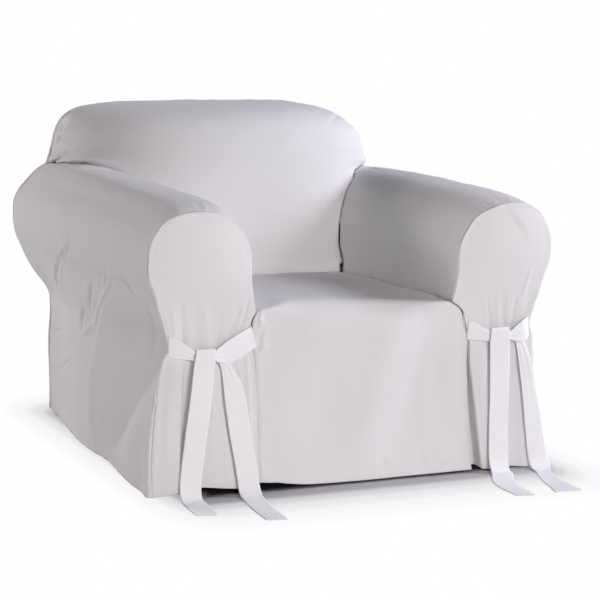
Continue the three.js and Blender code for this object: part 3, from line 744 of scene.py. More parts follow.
def front_half(side, height):
    """Inner and outer edges of an arm front at one height."""
    up = np.clip((height - SEAT) / INNER_GIRTH, 0, 1)
    inner_roll = face_place(side, np.linspace(180, 100, 81))
    outer_roll = face_place(side, np.linspace(ROLL_END, 80, 106))
    face = lerp(FACE_FRONT, inner_roll[0][0], up) + FACE_BELLY * np.sin(up * math.pi)
    inner = np.where(height < SEAT, PLEAT_ARM_EDGE[side](height), face)
    inner = np.where(height > ROLL_MIDDLE, np.interp(height, inner_roll[1], inner_roll[0]), inner)
    outer = outside_half(side, height, 0.0 * height)
    on_roll = height > outer_roll[1][0]
    outer = np.where(on_roll, np.interp(height, outer_roll[1], outer_roll[0]), outer)
    return inner, outer


def front_panel(side):
    """An arm front: set back or forward over the front plane, from its hem to the roll."""
    across = graded(FRONT_GRID[1], 250, True, True, 4.0)[None, :]
    up = graded(FRONT_GRID[0], 640, False, True, 4.0)[:, None]
    # its places are filled in between the hem, its two edges and the top of its roll
    top = face_place(side, lerp(135, 45, across))
    inner_z, outer_z = up * top[1][0, 0], up * top[1][0, -1]
    inner, outer = front_half(side, inner_z)[0], front_half(side, outer_z)[1]
    low_x = lerp(inner[0, 0], outer[0, 0], across)
    x = lerp(low_x, top[0], up) + lerp(inner, outer, across)
    x = x - lerp(low_x, lerp(top[0][0, 0], top[0][0, -1], across), up)
    z = up * top[1] + lerp(inner_z, outer_z, across)
    z = z - up * lerp(top[1][0, 0], top[1][0, -1], across)
    # it stands out round the roll, hangs in folds below the tie and is drawn in at it
    rise = np.clip(z - ROLL_MIDDLE, 0, None) / ROLL_RADIUS
    middle, half = (inner + outer) / 2, (outer - inner) / 2
    roll_share = smooth(ROLL_MIDDLE - 40, ROLL_MIDDLE + 10, z)
    middle, half = lerp(middle, ROLL_ACROSS, roll_share), lerp(half, ROLL_RADIUS, roll_share)
    inside = np.clip(1 - ((x - middle) / half) ** 2 - rise**2, 0, 1)
    edge = np.minimum(1, 2.5 * inside)
    fold = FRONT_FOLD[side](across + 0 * x) * (1 - smooth(250, TIE_HEIGHT, z))
    y = -FRONT_PAD * inside**0.8 * smooth(380, 520, z) + fold * edge
    y += TIE_DRAW * inside * hill(z, TIE_HEIGHT, 45)
    x = side * x
    z = z + hem_lift(x, z)
    points = np.stack([x, y, z], axis=-1)
    sewn = ("first_column", "last_column", "last_row")
    panel("arm_front_" + SIDES[side], points, (x, z), side < 0, sewn)


# ------------------------------------------------------------------ the seat
def seat_rows():
    """Lengths of cloth from the seat's front edge: back over the deck (-) and down the drop."""
    rows = np.concatenate([
        -SEAT_CORNER * (1 - graded(DECK_ROWS, SEAT_CORNER, True, False)),
        SEAT * graded(DROP_ROWS, SEAT, False, False)[1:],
    ])
    turn = np.linspace(-SEAT_EDGE, SEAT_EDGE, 25)
    rows = np.unique(np.concatenate([rows[np.abs(rows) > SEAT_EDGE + 1], turn]))
    rows[np.argmin(np.abs(rows - (SEAT - PLEAT_TOP)))] = SEAT - PLEAT_TOP
    return rows


def seat_panel():
    """The seat's deck and its drop in one length, with the soft turn between them."""
    run, out = np.meshgrid(seat_rows(), 2 * graded(SEAT_COLUMNS, 500) - 1, indexing="ij")
    side_gap = (1 - np.abs(out)) * FACE_FRONT
    soft = np.maximum(SEAT_EDGE * smooth(0, 110, side_gap), 0.01)
    across = (out + 1) / 2
    forward = rounded(out)
    # the deck
    behind = np.clip(-run, 0, None)
    back = behind / SEAT_CORNER
    deck_y = behind + (SEAT_BACK - SEAT_CORNER) * (1 - np.abs(out) ** LOW_ROUND) * back**6
    inwards = np.clip(behind - soft, 0, None) / (SEAT_CORNER - soft)
    fuller = seat_rise(out * FACE_FRONT)
    deck_z = SEAT + (seat_line(behind) - SEAT) * (1 - forward**0.8)
    dome = np.sin(math.pi * np.minimum(1, SEAT_DOME + inwards))
    deck_z = deck_z + SEAT_CROWN * forward * dome
    deck_z = deck_z + fuller * (1 - smooth(0, 0.7, inwards))
    # the drop
    below = np.clip(run, 0, None)
    height = SEAT - below
    left = -PLEAT_DROP_EDGE[-1](height)
    right = PLEAT_DROP_EDGE[1](height)
    x = lerp(left, right, across)
    belly = -DROP_BELLY * np.sin(math.pi * across) * hill(height, 360, 110)
    ridge = -DROP_RIDGE * hill(x, lerp(-10, 120, height / SEAT), 60) * smooth(0, 120, height)
    hollow = DROP_HOLLOW * hill(x, lerp(95, 190, height / SEAT), 55) * smooth(0, 120, height)
    gate = np.minimum(1, np.minimum(4 * across, 4 * (1 - across))) * smooth(0, 60, below)
    drop_y = (belly + ridge + hollow) * gate
    crown = fuller + SEAT_CROWN * forward * math.sin(math.pi * SEAT_DOME)
    drop_z = height + crown * (1 - smooth(0, 110, below - soft)) + hem_lift(x, height)
    y = np.where(run < 0, deck_y, drop_y)
    z = np.where(run < 0, deck_z, drop_z)
    # the soft turn between them
    turning = np.clip((run / soft + 1) * math.pi / 4, 0, math.pi / 2)
    within = np.abs(run) < soft
    edge_z = SEAT + crown
    y = np.where(within, soft * (1 - np.sin(turning)) + drop_y, y)
    z = np.where(within, edge_z - soft * (1 - np.cos(turning)), z)
    points = np.stack([x, y, z], axis=-1)
    panel("seat", points, (x, run), True, ("first_row", "first_column", "last_column"))


def pleat_points(side, heights):
    """The cloth folded back beside the drop: rows by height, from the drop to the arm front."""
    way = line(PLEAT_ROUTE, "share", "across")
    into = line(PLEAT_ROUTE, "share", "into")
    height, share = np.meshgrid(heights, np.linspace(0, 1, PLEAT_COLUMNS), indexing="ij")
    drop = side * PLEAT_DROP_EDGE[side](height)
    arm = side * PLEAT_ARM_EDGE[side](height)
    x = lerp(drop, arm, way(share))
    y = pleat_deep(height) * into(share)
    z = height + lerp(hem_lift(drop, height), hem_lift(arm, height), share)
    return np.stack([x, y, z], axis=-1)


# ------------------------------------------------------------------ the inside back
def girth_at(step):
    """The length of cloth round an arm where a step of the back meets its roll."""
    return INNER_GIRTH + ROLL_GIRTH * (step - FACE_STEPS) / ROLL_STEPS


def seam_on_arm(side, girth):
    """A place on the seam at the back end of an arm."""
    return arm_point(side, girth, arm_back_end(side, girth))


def ear_line(side):
    """The edge of an ear by step, starting from the arm."""
    table = EAR_LEFT if side < 0 else EAR_RIGHT
    foot = seam_on_arm(side, np.array([girth_at(EAR_STEP[side])]))[0]
    steps = np.concatenate([[EAR_STEP[side]], table["step"]])
    starts = {"across": abs(foot[0]), "depth": foot[1], "height": foot[2]}
    return [
        through(steps, np.concatenate([[starts[word]], table[word]]))
        for word in ("across", "depth", "height")
    ]


def ear_at(side, step):
    """A place on the edge of an ear."""
    across, depth, height = (part(step) for part in ear_line(side))
    return np.stack([side * across, depth, height], axis=-1)


def back_edge(side, step):
    """The edge of the inside back: along the arm, then up the ear and round its shoulder."""
    face = INNER_GIRTH * np.clip(step / FACE_STEPS, 0, 1)
    girth = np.where(step < FACE_STEPS, face, girth_at(step))
    on_arm = (step < EAR_STEP[side])[..., None]
    return np.where(on_arm, seam_on_arm(side, girth), ear_at(side, step))


def row_rise(step, across, forward):
    """How far a back row rises from its ends towards its middle height, 0 to 1."""
    return lerp(forward**0.8, 1 - np.abs(across) ** TOP_ROUND, smooth(14, 20, step))


def back_rows():
    """The steps at which the inside back has its rows, with one at the foot of each ear."""
    length_of_step = line(BACK_STEP_LENGTHS, "step", "length")
    fine = np.linspace(0, BACK_STEPS, 2001)
    total = np.concatenate([[0], np.cumsum(length_of_step(fine)[1:] * np.diff(fine))])
    steps = np.interp(graded(BACK_GRID[0], 800) * total[-1], total, fine)
    for ear_step in EAR_STEP.values():
        steps[np.argmin(np.abs(steps - ear_step))] = ear_step
    return steps


def back_panel():
    """The inside back with its two ears, from the seat up to the crest seam."""
    even = 2 * graded(BACK_GRID[1], 700, True, True, 5.0) - 1
    columns_across = lerp(even, np.sin(even * math.pi / 2), 0.6)
    step, across = np.meshgrid(back_rows(), columns_across, indexing="ij")
    forward = rounded(across)
    edge = np.where((across < 0)[..., None], back_edge(-1, step), back_edge(1, step))
    middle_height = lerp(SEAT, CREST, 1 - (1 - step / BACK_STEPS) ** 1.65)
    height = lerp(edge[..., 2], middle_height, row_rise(step, across, forward))
    face = back_face_at(lerp(height, middle_height, smooth(13, 19, step)))
    bulge = lerp(1 - np.abs(across) ** LOW_ROUND, forward, smooth(6, 12, step))
    points = np.stack([
        np.abs(across) * edge[..., 0],
        lerp(edge[..., 1], face, bulge),
        height,
    ], axis=-1)
    # the cloth runs smoothly past the foot of each ear
    loose = 0.5 * hill(step, *EAR_FOOT) * smooth(0, 0.25, 1 - np.abs(across))
    for _ in range(EAR_FOOT_ROUNDS):
        between = (points[:-2] + points[2:]) / 2
        points[1:-1] = lerp(points[1:-1], between, loose[1:-1, :, None])
    flat = (points[..., 0], lerp(SEAT, BACK_FLAT_TOP, step / BACK_STEPS))
    sewn = ("first_row", "last_row", "first_column", "last_column")
    panel("inside_back", points, flat, False, sewn)


# ------------------------------------------------------------------ the outside back
def outside_edge(side, rise):
    """The side edge of the outside back, rise 0 at the hem to 1 at the crest, and its step."""
    run_arm = GIRTH - girth_at(EAR_STEP[side])
    run = rise * (run_arm + EAR_RUN)
    girth = GIRTH - np.minimum(run, run_arm)
    step = lerp(EAR_STEP[side], BACK_STEPS, np.clip((run - run_arm) / EAR_RUN, 0, 1))
    place = np.where((run < run_arm)[..., None], seam_on_arm(side, girth), ear_at(side, step))
    return place, step


def outside_panel():
    """The outside back: it turns down from the crest seam and hangs to the hem."""
    rises = graded(OUTSIDE_GRID[0], 940, False, True)
    columns_across = 2 * graded(OUTSIDE_GRID[1], 860) - 1
    rise, across = np.meshgrid(rises, columns_across, indexing="ij")
    forward = rounded(across)
    left, left_step = outside_edge(-1, rise)
    right, right_step = outside_edge(1, rise)
    edge = np.where((across < 0)[..., None], left, right)
    level = (left[..., 2] + right[..., 2]) / 2
    top = level[-1, 0]
    middle = level + (CREST - top) * smooth(0.6, 1, rise)
    share = row_rise((left_step + right_step) / 2, across, forward)
    fall = np.sqrt(1 - np.clip(1 - (top - level) / CREST_TURN, 0, 1) ** 2)
    points = np.stack([
        np.abs(across) * edge[..., 0],
        lerp(edge[..., 1], lerp(CREST_SEAM, DEPTH, fall), forward**0.45),
        lerp(edge[..., 2], middle, share),
    ], axis=-1)
    sewn = ("last_row", "first_column", "last_column")
    panel("outside_back", points, (points[..., 0], points[..., 2]), True, sewn)


for each in SIDES:
    arm_panel(each)
    front_panel(each)
seat_panel()
back_panel()
outside_panel()

# ------------------------------------------------------------------ folds and creases
# Each row: kind, depth, width, which ends fade, and its path on that panel's flat cloth.
# A negative depth stands up instead of sinking in.
CREASES = {
    "arm_left": (
        ("trough", -6.5, 8, "both", ((513, 208), (562, 257), (628, 347), (696, 446), (788, 489))),
        ("trough", -5.0, 6, "both", ((507, 159), (536, 157), (568, 137), (595, 96), (617, 79))),
        ("trough", -3.6, 5, "both", ((544, 332), (581, 349), (610, 377))),
        ("trough", -3.4, 5, "both", ((521, 271), (555, 288), (599, 321))),
        ("trough", -5.0, 7, "both", ((476, 507), (509, 524), (538, 588), (559, 665))),
        ("trough", 4.4, 6, "both", ((479, 489), (519, 506), (561, 565))),
        ("trough", 6.5, 8, "both", ((550, 602), (610, 693), (674, 803))),
        ("trough", 6.5, 12, "both", ((575, 390), (629, 431), (671, 467))),
        ("trough", 6.5, 10, "both", ((655, 500), (700, 545), (738, 535))),
        ("trough", -4.0, 8, "both", ((677, 427), (718, 506), (744, 573))),
        ("trough", 5.0, 5, "both", ((670, 734), (689, 756), (709, 745))),
        ("trough", 4.2, 5, "both", ((805, 938), (787, 897), (770, 828))),
        ("trough", 5.0, 6, "both", ((808, 656), (850, 772), (891, 876), (911, 886))),
        ("trough", 1.6, 8, "both", ((439, 860), (471, 850), (499, 826))),
        ("trough", 1.6, 14, "both", ((555, 808), (525, 718), (512, 663))),
        ("trough", 2.4, 4, "first", ((300, 46), (301, 0))),
        ("trough", -2.2, 4, "first", ((283, 52), (285, 0))),
        ("trough", 2.6, 4.5, "first", ((352, 70), (362, 0))),
        ("trough", -2.0, 4, "first", ((384, 50), (390, 0))),
        ("trough", 2.6, 4.5, "first", ((436, 70), (445, 0))),
        ("trough", -2.0, 4, "first", ((470, 40), (474, 0))),
        ("trough", 2.4, 16, "both", ((560, 30), (640, 70), (760, 150))),
        ("trough", -1.6, 22, "both", ((820, 330), (900, 410), (990, 450))),
    ),
    "arm_right": (
        ("trough", 3.0, 7, "both", ((319, 765), (297, 661), (283, 563))),
        ("trough", 2.4, 4, "first", ((258, 44), (262, 0))),
        ("trough", 2.4, 4, "first", ((292, 52), (290, 0))),
        ("trough", -2.2, 4, "first", ((318, 46), (322, 0))),
        ("trough", 2.4, 4, "first", ((392, 50), (398, 0))),
        ("trough", -3.8, 10, "both", ((520, 240), (590, 270), (680, 380), (770, 470))),
        ("trough", -3.0, 7, "both", ((512, 130), (560, 150), (612, 96))),
        ("trough", 3.4, 9, "both", ((540, 520), (600, 610), (660, 690))),
        ("trough", 3.6, 12, "both", ((600, 390), (650, 430), (700, 490))),
        ("trough", -2.6, 8, "both", ((500, 640), (560, 720), (600, 800))),
        ("trough", 2.4, 6, "both", ((800, 700), (860, 790), (900, 860))),
        ("trough", 2.2, 16, "both", ((560, 30), (640, 60), (760, 130))),
        ("trough", 1.0, 30, "both", ((60, 140), (70, 300), (50, 470))),
    ),
    "arm_front_left": (
        ("trough", 4.6, 4, "first", ((-465, 424), (-460, 401), (-450, 362))),
        ("trough", 4.4, 6, "first", ((-424, 450), (-417, 398), (-412, 340))),
        ("trough", -2.6, 7, "first", ((-446, 440), (-440, 415), (-432, 352))),
        ("trough", 4.4, 4, "first", ((-262, 440), (-272, 400), (-282, 366))),
        ("trough", 2.6, 8, "first", ((-282, 430), (-294, 387), (-308, 362))),
        ("trough", -2.2, 12, "first", ((-368, 440), (-361, 373), (-359, 342))),
        ("trough", 1.2, 9, "first", ((-388, 436), (-386, 390), (-385, 346))),
        ("trough", 1.2, 9, "first", ((-330, 420), (-332, 380), (-335, 346))),
        ("trough", 1.8, 16, "both", ((-421, 190), (-446, 120), (-470, 45))),
        ("trough", -2.2, 6, "none", ((-266, 330), (-256, 166), (-246, 0))),
        ("trough", 1.8, 4, "both", ((-322, 318), (-308, 273), (-294, 225))),
        ("trough", 1.8, 4, "both", ((-300, 318), (-288, 270), (-275, 220))),
        ("trough", -1.6, 12, "last", ((-345, 320), (-350, 200), (-352, 40))),
        ("trough", 0.9, 45, "both", ((-400, 560), (-350, 600), (-300, 560))),
    ),
    "arm_front_right": (
        ("step", 2.4, 9, "both", ((365, 628), (392, 602), (420, 567), (446, 524))),
        ("trough", -2.4, 6, "both", ((453, 492), (435, 435), (428, 400), (429, 350))),
        ("trough", 4.2, 5, "first", ((332, 430), (342, 373), (349, 334))),
        ("trough", 4.2, 5, "first", ((378, 430), (383, 371), (386, 331))),
        ("trough", 3.4, 6, "first", ((413, 425), (406, 365), (402, 335))),
        ("trough", -2.6, 7, "first", ((358, 430), (366, 367), (370, 334))),
        ("trough", 1.8, 4, "both", ((270, 386), (283, 364), (304, 352))),
        ("trough", 1.6, 4, "both", ((322, 322), (335, 311), (352, 314))),
        ("trough", 1.6, 6, "last", ((344, 320), (338, 240), (334, 120))),
        ("trough", -1.8, 7, "none", ((455, 330), (462, 200), (470, 0))),
        ("trough", 1.5, 8, "last", ((430, 318), (436, 230), (444, 120))),
        ("trough", 0.9, 45, "both", ((330, 560), (360, 600), (420, 560))),
    ),
    "seat": (
        ("trough", 7.0, 3.5, "none", ((-236, 2), (-243, 16), (-241, 30))),
        ("trough", 10.0, 3.5, "first", ((-224, 40), (-238, 62), (-233, 73), (-243, 84))),
        ("trough", -3.4, 5, "both", ((-231, 4), (-234, 22), (-226, 44))),
        ("trough", -2.6, 7, "both", ((-219, 30), (-224, 62), (-226, 100))),
        ("trough", 2.0, 5, "both", ((246, 4), (262, 32), (270, 70))),
        ("trough", -3.2, 30, "both", ((172, 40), (133, 152), (94, 242), (66, 310))),
        ("trough", 2.4, 24, "both", ((215, 70), (207, 180), (184, 300))),
        ("trough", -2.2, 20, "last", ((248, 100), (254, 230), (258, 360))),
        ("trough", 1.6, 36, "both", ((-72, 30), (-82, 160), (-100, 300))),
        ("trough", -1.5, 30, "both", ((-150, 60), (-170, 200), (-176, 340))),
        ("trough", 1.2, 26, "both", ((20, 90), (6, 220), (-20, 360))),
        ("trough", 2.0, 12, "both", ((60, 350), (78, 372), (80, 396))),
        ("trough", 2.0, 12, "both", ((170, 346), (176, 372), (182, 398))),
        ("trough", 1.2, 40, "both", ((-200, -560), (-60, -470), (160, -500))),
        ("trough", 0.8, 12, "both", ((-190, -40), (-60, -26), (80, -34))),
    ),
    "inside_back": (
        ("trough", 24.0, 7, "last", ((-414, 1021), (-411, 1033), (-405, 1042), (-397, 1036))),
        ("trough", 20.0, 6, "last", ((-410, 1047), (-404, 1060), (-398, 1062), (-388, 1050))),
        ("trough", 15.0, 7, "last", ((-424, 890), (-419, 905), (-408, 925), (-394, 941))),
        ("trough", 10.0, 6, "last", ((-424, 868), (-414, 880), (-402, 884), (-390, 880))),
        ("trough", 16.0, 7, "both", ((-408, 1058), (-402, 1089), (-394, 1115), (-380, 1143))),
        ("trough", 1.8, 4, "first", ((-315, 850), (-322, 740))),
        ("trough", -1.2, 4, "first", ((-297, 840), (-306, 740))),
        ("trough", 1.8, 4, "first", ((-281, 826), (-288, 730))),
        ("trough", 1.3, 5, "both", ((176, 572), (199, 521), (226, 472))),
        ("trough", 2.6, 5, "both", ((258, 800), (273, 743), (290, 690))),
        ("trough", 1.8, 4, "both", ((262, 740), (274, 695), (286, 655))),
        ("trough", 1.0, 60, "both", ((-180, 620), (-60, 560), (90, 600))),
        ("trough", 1.2, 5, "both", ((-60, 1250), (-66, 1180), (-64, 1100))),
        ("trough", 2.2, 9, "both", ((405, 1180), (350, 1130), (300, 1060), (262, 980))),
        ("trough", -1.8, 12, "both", ((430, 1120), (392, 1060), (352, 990))),
        ("trough", 1.8, 8, "both", ((-396, 1180), (-350, 1150), (-296, 1140))),
    ),
    "outside_back": (
        ("trough", -2.6, 24, "both", ((-300, 560), (-270, 300), (-286, 20))),
        ("trough", 2.8, 26, "both", ((-180, 620), (-150, 330), (-170, 10))),
        ("trough", -2.2, 30, "both", ((60, 640), (96, 330), (80, 10))),
        ("trough", 2.6, 24, "both", ((230, 600), (262, 300), (250, 10))),
        ("trough", -2.0, 18, "both", ((350, 520), (362, 300), (352, 10))),
        ("trough", 2.2, 9, "both", ((-430, 560), (-380, 520), (-300, 500))),
        ("trough", 2.2, 9, "both", ((430, 540), (390, 500), (310, 470))),
        ("trough", 1.6, 8, "both", ((-420, 700), (-370, 730), (-280, 740))),
    ),
}
# How uneven each panel hangs: the height of its long swells, then of its short ones.
LONG_SWELL = 230
SHORT_SWELL = 85
SWELLS = {
    "arm_left": (1.1, 0.4),
    "arm_right": (1.1, 0.4),
    "arm_front_left": (0.5, 0.25),
    "arm_front_right": (0.5, 0.25),
    "seat": (0.9, 0.3),
    "inside_back": (0.8, 0.2),
    "outside_back": (2.2, 0.6),
}


def hem_sink(points):
    """The hem is turned up twice: thicker below its stitching, with a slight draw at it."""
    height = points[..., 2] - hem_lift(points[..., 0], points[..., 2])
    draw = 0.45 * hill(height, HEM_DEEP + 2.5, 3)
    thicker = 0.7 * (1 - smooth(HEM_DEEP, HEM_DEEP + 2, height))
    return draw - thicker


def off_rims(kept):
    """How far each place of a panel is from its nearest sewn side."""
    nearest = np.full(kept["points"].shape[:2], 1e9)
    for where in kept["sewn"]:
        lines = side_of(kept["points"], where)
        gap = np.linalg.norm(lines - lines[0][None], axis=-1)
        view = side_of(nearest, where)
        view[...] = np.minimum(view, gap)
    return nearest


def side_of(values, where):
    """The rows or columns of a panel counted from one of its sides."""
    if where == "first_row":
        return values
    if where == "last_row":
        return values[::-1]
    turned = np.swapaxes(values, 0, 1)
    return turned if where == "first_column" else turned[::-1]


def settle_panels():
    """Gives every panel its swells, its creases and its hem, all fading towards its seams."""
    for number, (name, kept) in enumerate(PANELS.items()):
        a, b = kept["flat"]
        long_swell, short_swell = SWELLS[name]
        settle = long_swell * rumple(a, b, LONG_SWELL, 40 + number)
        settle = settle + short_swell * rumple(a, b, SHORT_SWELL, 70 + number)
        settle = settle + creases(a, b, CREASES[name])
        if name != "inside_back":
            settle = settle + hem_sink(kept["points"])
        press(name, settle * smooth(0.5, 9, off_rims(kept)))


settle_panels()


# ------------------------------------------------------------------ seams
# Each row: the two panels that meet, how deep their seam sits, how far its lips stand apart,
# how wide the cloth turns in to it, how much it wavers, how many times wider its lips
# stand apart low down by the seat, and how far an arm front's edge is rolled up beside it.
SEAM_SIZES = 6
SEAMS = (
    ("arm", "front", 1.1, 0.4, 3.6, 0.8, 1.0, 2.2),
    ("arm", "back", 14.0, 12.5, 12.0, 2.0, 1.3, 0.0),
    ("arm", "seat", 9.0, 3.2, 14.0, 1.5, 1.0, 0.0),
    ("back", "seat", 7.0, 1.6, 14.0, 0.8, 1.0, 0.0),
    ("arm", "outside", 2.2, 0.4, 6.0, 0.8, 1.0, 0.0),
    ("back", "outside", 2.2, 0.4, 6.0, 0.9, 1.0, 0.0),
    ("front", "seat", 5.0, 3.0, 7.0, 1.6, 1.0, 0.0),
    ("front", "pleat", 1.0, 0.4, 4.0, 0.3, 1.0, 0.0),
)
MEETS_WITHIN = 8.0  # two edges nearer than this are sewn together
PANEL_KINDS = {
    "arm_left": "arm",
    "arm_right": "arm",
    "arm_front_left": "front",
    "arm_front_right": "front",
    "seat": "seat",
    "inside_back": "back",
    "outside_back": "outside",
    "pleat_left": "pleat",
    "pleat_right": "pleat",
}


def waver(places, size, seed):
    """The same small three-way waver for every panel that passes through a place."""
    rng = np.random.default_rng(seed)
    total = np.zeros(places.shape)
    for _ in range(7):
        way = rng.normal(size=3)
        way *= math.tau / (size * rng.uniform(0.6, 1.7)) / np.linalg.norm(way)
        push = rng.normal(size=3)
        wave = np.sin(places @ way + rng.uniform(0, math.tau))
        total += push / np.linalg.norm(push) * wave[..., None]
    return total / 2.0


def evened(values, half):
    """Values along a rim, each averaged with its neighbours."""
    padded = np.concatenate([values[:1].repeat(half, 0), values, values[-1:].repeat(half, 0)])
    total = np.zeros_like(values)
    for k in range(2 * half + 1):
        total += padded[k:k + len(values)]
    return total / (2 * half + 1)


def sewn_rims():
    """Every sewn side: its panel, its places, the way they face, and which side it is."""
    rims = []
    for name, kept in PANELS.items():
        normals = facing(name)
        for where in kept["sewn"]:
            rim, normal = side_of(kept["points"], where)[0], side_of(normals, where)[0]
            rims.append((name, rim, normal, where))
    return rims


def seam_along(name, rim, normal, rims):
    """The sizes of the seam at each place of a rim, and the way the seam sinks there."""
    kind = PANEL_KINDS[name]
    others = [
        other for other in rims
        if other[0] != name and (kind, PANEL_KINDS[other[0]]) in SEWN
    ]
    far = np.concatenate([places for _, places, _, _ in others])
    far_normal = np.concatenate([faces for _, _, faces, _ in others])
    numbers = np.concatenate([
        np.tile(SEWN[kind, PANEL_KINDS[other]], (len(places), 1))
        for other, places, _, _ in others
    ])
    gaps = np.linalg.norm(rim[:, None, :] - far[None, :, :], axis=-1)
    nearest = gaps.argmin(axis=1)
    met = (gaps.min(axis=1) < MEETS_WITHIN).astype(float)
    sizes = evened(numbers[nearest] * met[:, None], 3)
    inward = -unit(evened(unit(normal + far_normal[nearest]), 3))
    return sizes, inward


def turned_in(name, lines, rim, sizes, inward):
    """How the cloth beside a rim moves as it is sewn, and how firmly the rim holds it."""
    reach = np.linalg.norm(lines - rim[None], axis=-1)
    lead = unit(lines[4] - rim)
    away = unit(lead - (lead * inward).sum(-1, keepdims=True) * inward)
    sink, part, wide, shake, opens, stands = (
        np.maximum(sizes[:, k], 1e-3) for k in range(SEAM_SIZES)
    )
    part = part * lerp(1, opens, smooth(500, 420, rim[:, 2]))
    turn_in = np.clip(1 - reach / wide, 0, 1) ** 2
    push = turn_in[..., None] * (sink[:, None] * inward + 0.5 * part[:, None] * away)[None]
    sway = np.exp(-((reach / 16) ** 2))[..., None] * (shake[:, None] * waver(rim, 46, 3))[None]
    pucker = waver(rim, 19, 8)[:, 0] * shake * 0.55
    lip = np.exp(-((reach / 11) ** 2)) * (1 - np.exp(-((reach / 4) ** 2)))
    rolled = stands if PANEL_KINDS[name] == "front" else 0.0
    push = push + sway + (lip * (pucker - rolled))[..., None] * inward[None]
    return push, np.exp(-((reach / 6) ** 2)) + 1e-4


def sew_all():
    """Turns each sewn edge in, halfway between the two panels that meet there."""
    rims = sewn_rims()
    moved = {}
    for name, kept in PANELS.items():
        shift = np.zeros_like(kept["points"])
        weight = np.full(kept["points"].shape[:2], 1e-6)
        for _, rim, normal, where in [each for each in rims if each[0] == name]:
            sizes, inward = seam_along(name, rim, normal, rims)
            lines = side_of(kept["points"], where)
            push, strength = turned_in(name, lines, rim, sizes, inward)
            shifted, weighed = side_of(shift, where), side_of(weight, where)
            shifted += push * strength[..., None]
            weighed += strength
        moved[name] = kept["points"] + shift / weight[..., None]
    for name, kept in PANELS.items():
        kept["points"] = moved[name]


def pleat_panel(side):
    """The cloth behind one side of the drop, row for row beside the seat's own rows."""
    heights = SEAT - PANELS["seat"]["flat"][1][:, 0]
    points = pleat_points(side, heights[heights <= PLEAT_TOP + 0.01])
    flat = (points[..., 0], SEAT - points[..., 2])
    panel("pleat_" + SIDES[side], points, flat, side > 0, ("last_column",))


for each in SIDES:
    pleat_panel(each)
SEWN = {}
for one, other, *numbers in SEAMS:
    SEWN[one, other] = numbers
    SEWN[other, one] = numbers
sew_all()


# ------------------------------------------------------------------ meshes
JOINED_WITHIN = 0.02 * MILLIMETRE  # grids of one piece are joined where they meet this closely


def cloth_lengths(points):
    """Lengths along the cloth, across from the middle column and up from the first row."""
    middle = points.shape[1] // 2
    across = np.cumsum(np.linalg.norm(np.diff(points, axis=1), axis=-1), axis=1)
    across = np.concatenate([0 * across[:, :1], across], axis=1)
    up = np.cumsum(np.linalg.norm(np.diff(points, axis=0), axis=-1), axis=0)
    up = np.concatenate([0 * up[:1], up], axis=0)
    return across - across[:, middle:middle + 1], up


def grid_into(mesh_in_hand, points, flat, turned):
    """Adds a grid of cloth to a mesh in hand, each corner set at its place."""
    rows, count = points.shape[:2]
    made = bmesh.ops.create_grid(mesh_in_hand, x_segments=count - 1, y_segments=rows - 1, size=0.5)
    layer = mesh_in_hand.loops.layers.uv.get("cloth") or mesh_in_hand.loops.layers.uv.new("cloth")
    places = {}
    for corner in made["verts"]:
        column = round((corner.co.x + 0.5) * (count - 1))
        row = round((corner.co.y + 0.5) * (rows - 1))
        places[corner] = (row, column)
        x, y, z = points[row, column]
        corner.co = (x * MILLIMETRE, (y + FRONT_PLANE) * MILLIMETRE, z * MILLIMETRE)
    faces = {face for corner in made["verts"] for face in corner.link_faces}
    for face in faces:
        face.smooth = True
        for loop in face.loops:
            row, column = places[loop.vert]
            loop[layer].uv = (flat[0][row, column] * MILLIMETRE, flat[1][row, column] * MILLIMETRE)
    if turned:
        bmesh.ops.reverse_faces(mesh_in_hand, faces=list(faces))


def cloth_piece(name, grids, thickness=CLOTH, offset=-1.0):
    """A piece of cloth made of one or more grids that meet.

    Its thickness lies on its inner side, or with an offset of 0 on both sides.
    """
    mesh_in_hand = bmesh.new()
    for points, flat, turned in grids:
        grid_into(mesh_in_hand, points, flat, turned)
    bmesh.ops.remove_doubles(mesh_in_hand, verts=mesh_in_hand.verts, dist=JOINED_WITHIN)
    data = bpy.data.meshes.new(name)
    mesh_in_hand.to_mesh(data)
    mesh_in_hand.free()
    made = bpy.data.objects.new(name, data)
    bpy.context.collection.objects.link(made)
    solid = made.modifiers.new("thickness", "SOLIDIFY")
    solid.thickness = thickness * MILLIMETRE
    solid.offset = offset
    solid.use_even_offset = True
    solid.thickness_clamp = 1.0
    return made


# ------------------------------------------------------------------ materials
# Sizes in the weave, as scales on the cloth's lengths in metres.
THREADS = 220.0
WARP_SLUBS = (260.0, 9.0, 1.0)
WEFT_SLUBS = (9.0, 260.0, 1.0)
CLOUDS = (7.0, 7.0, 7.0)


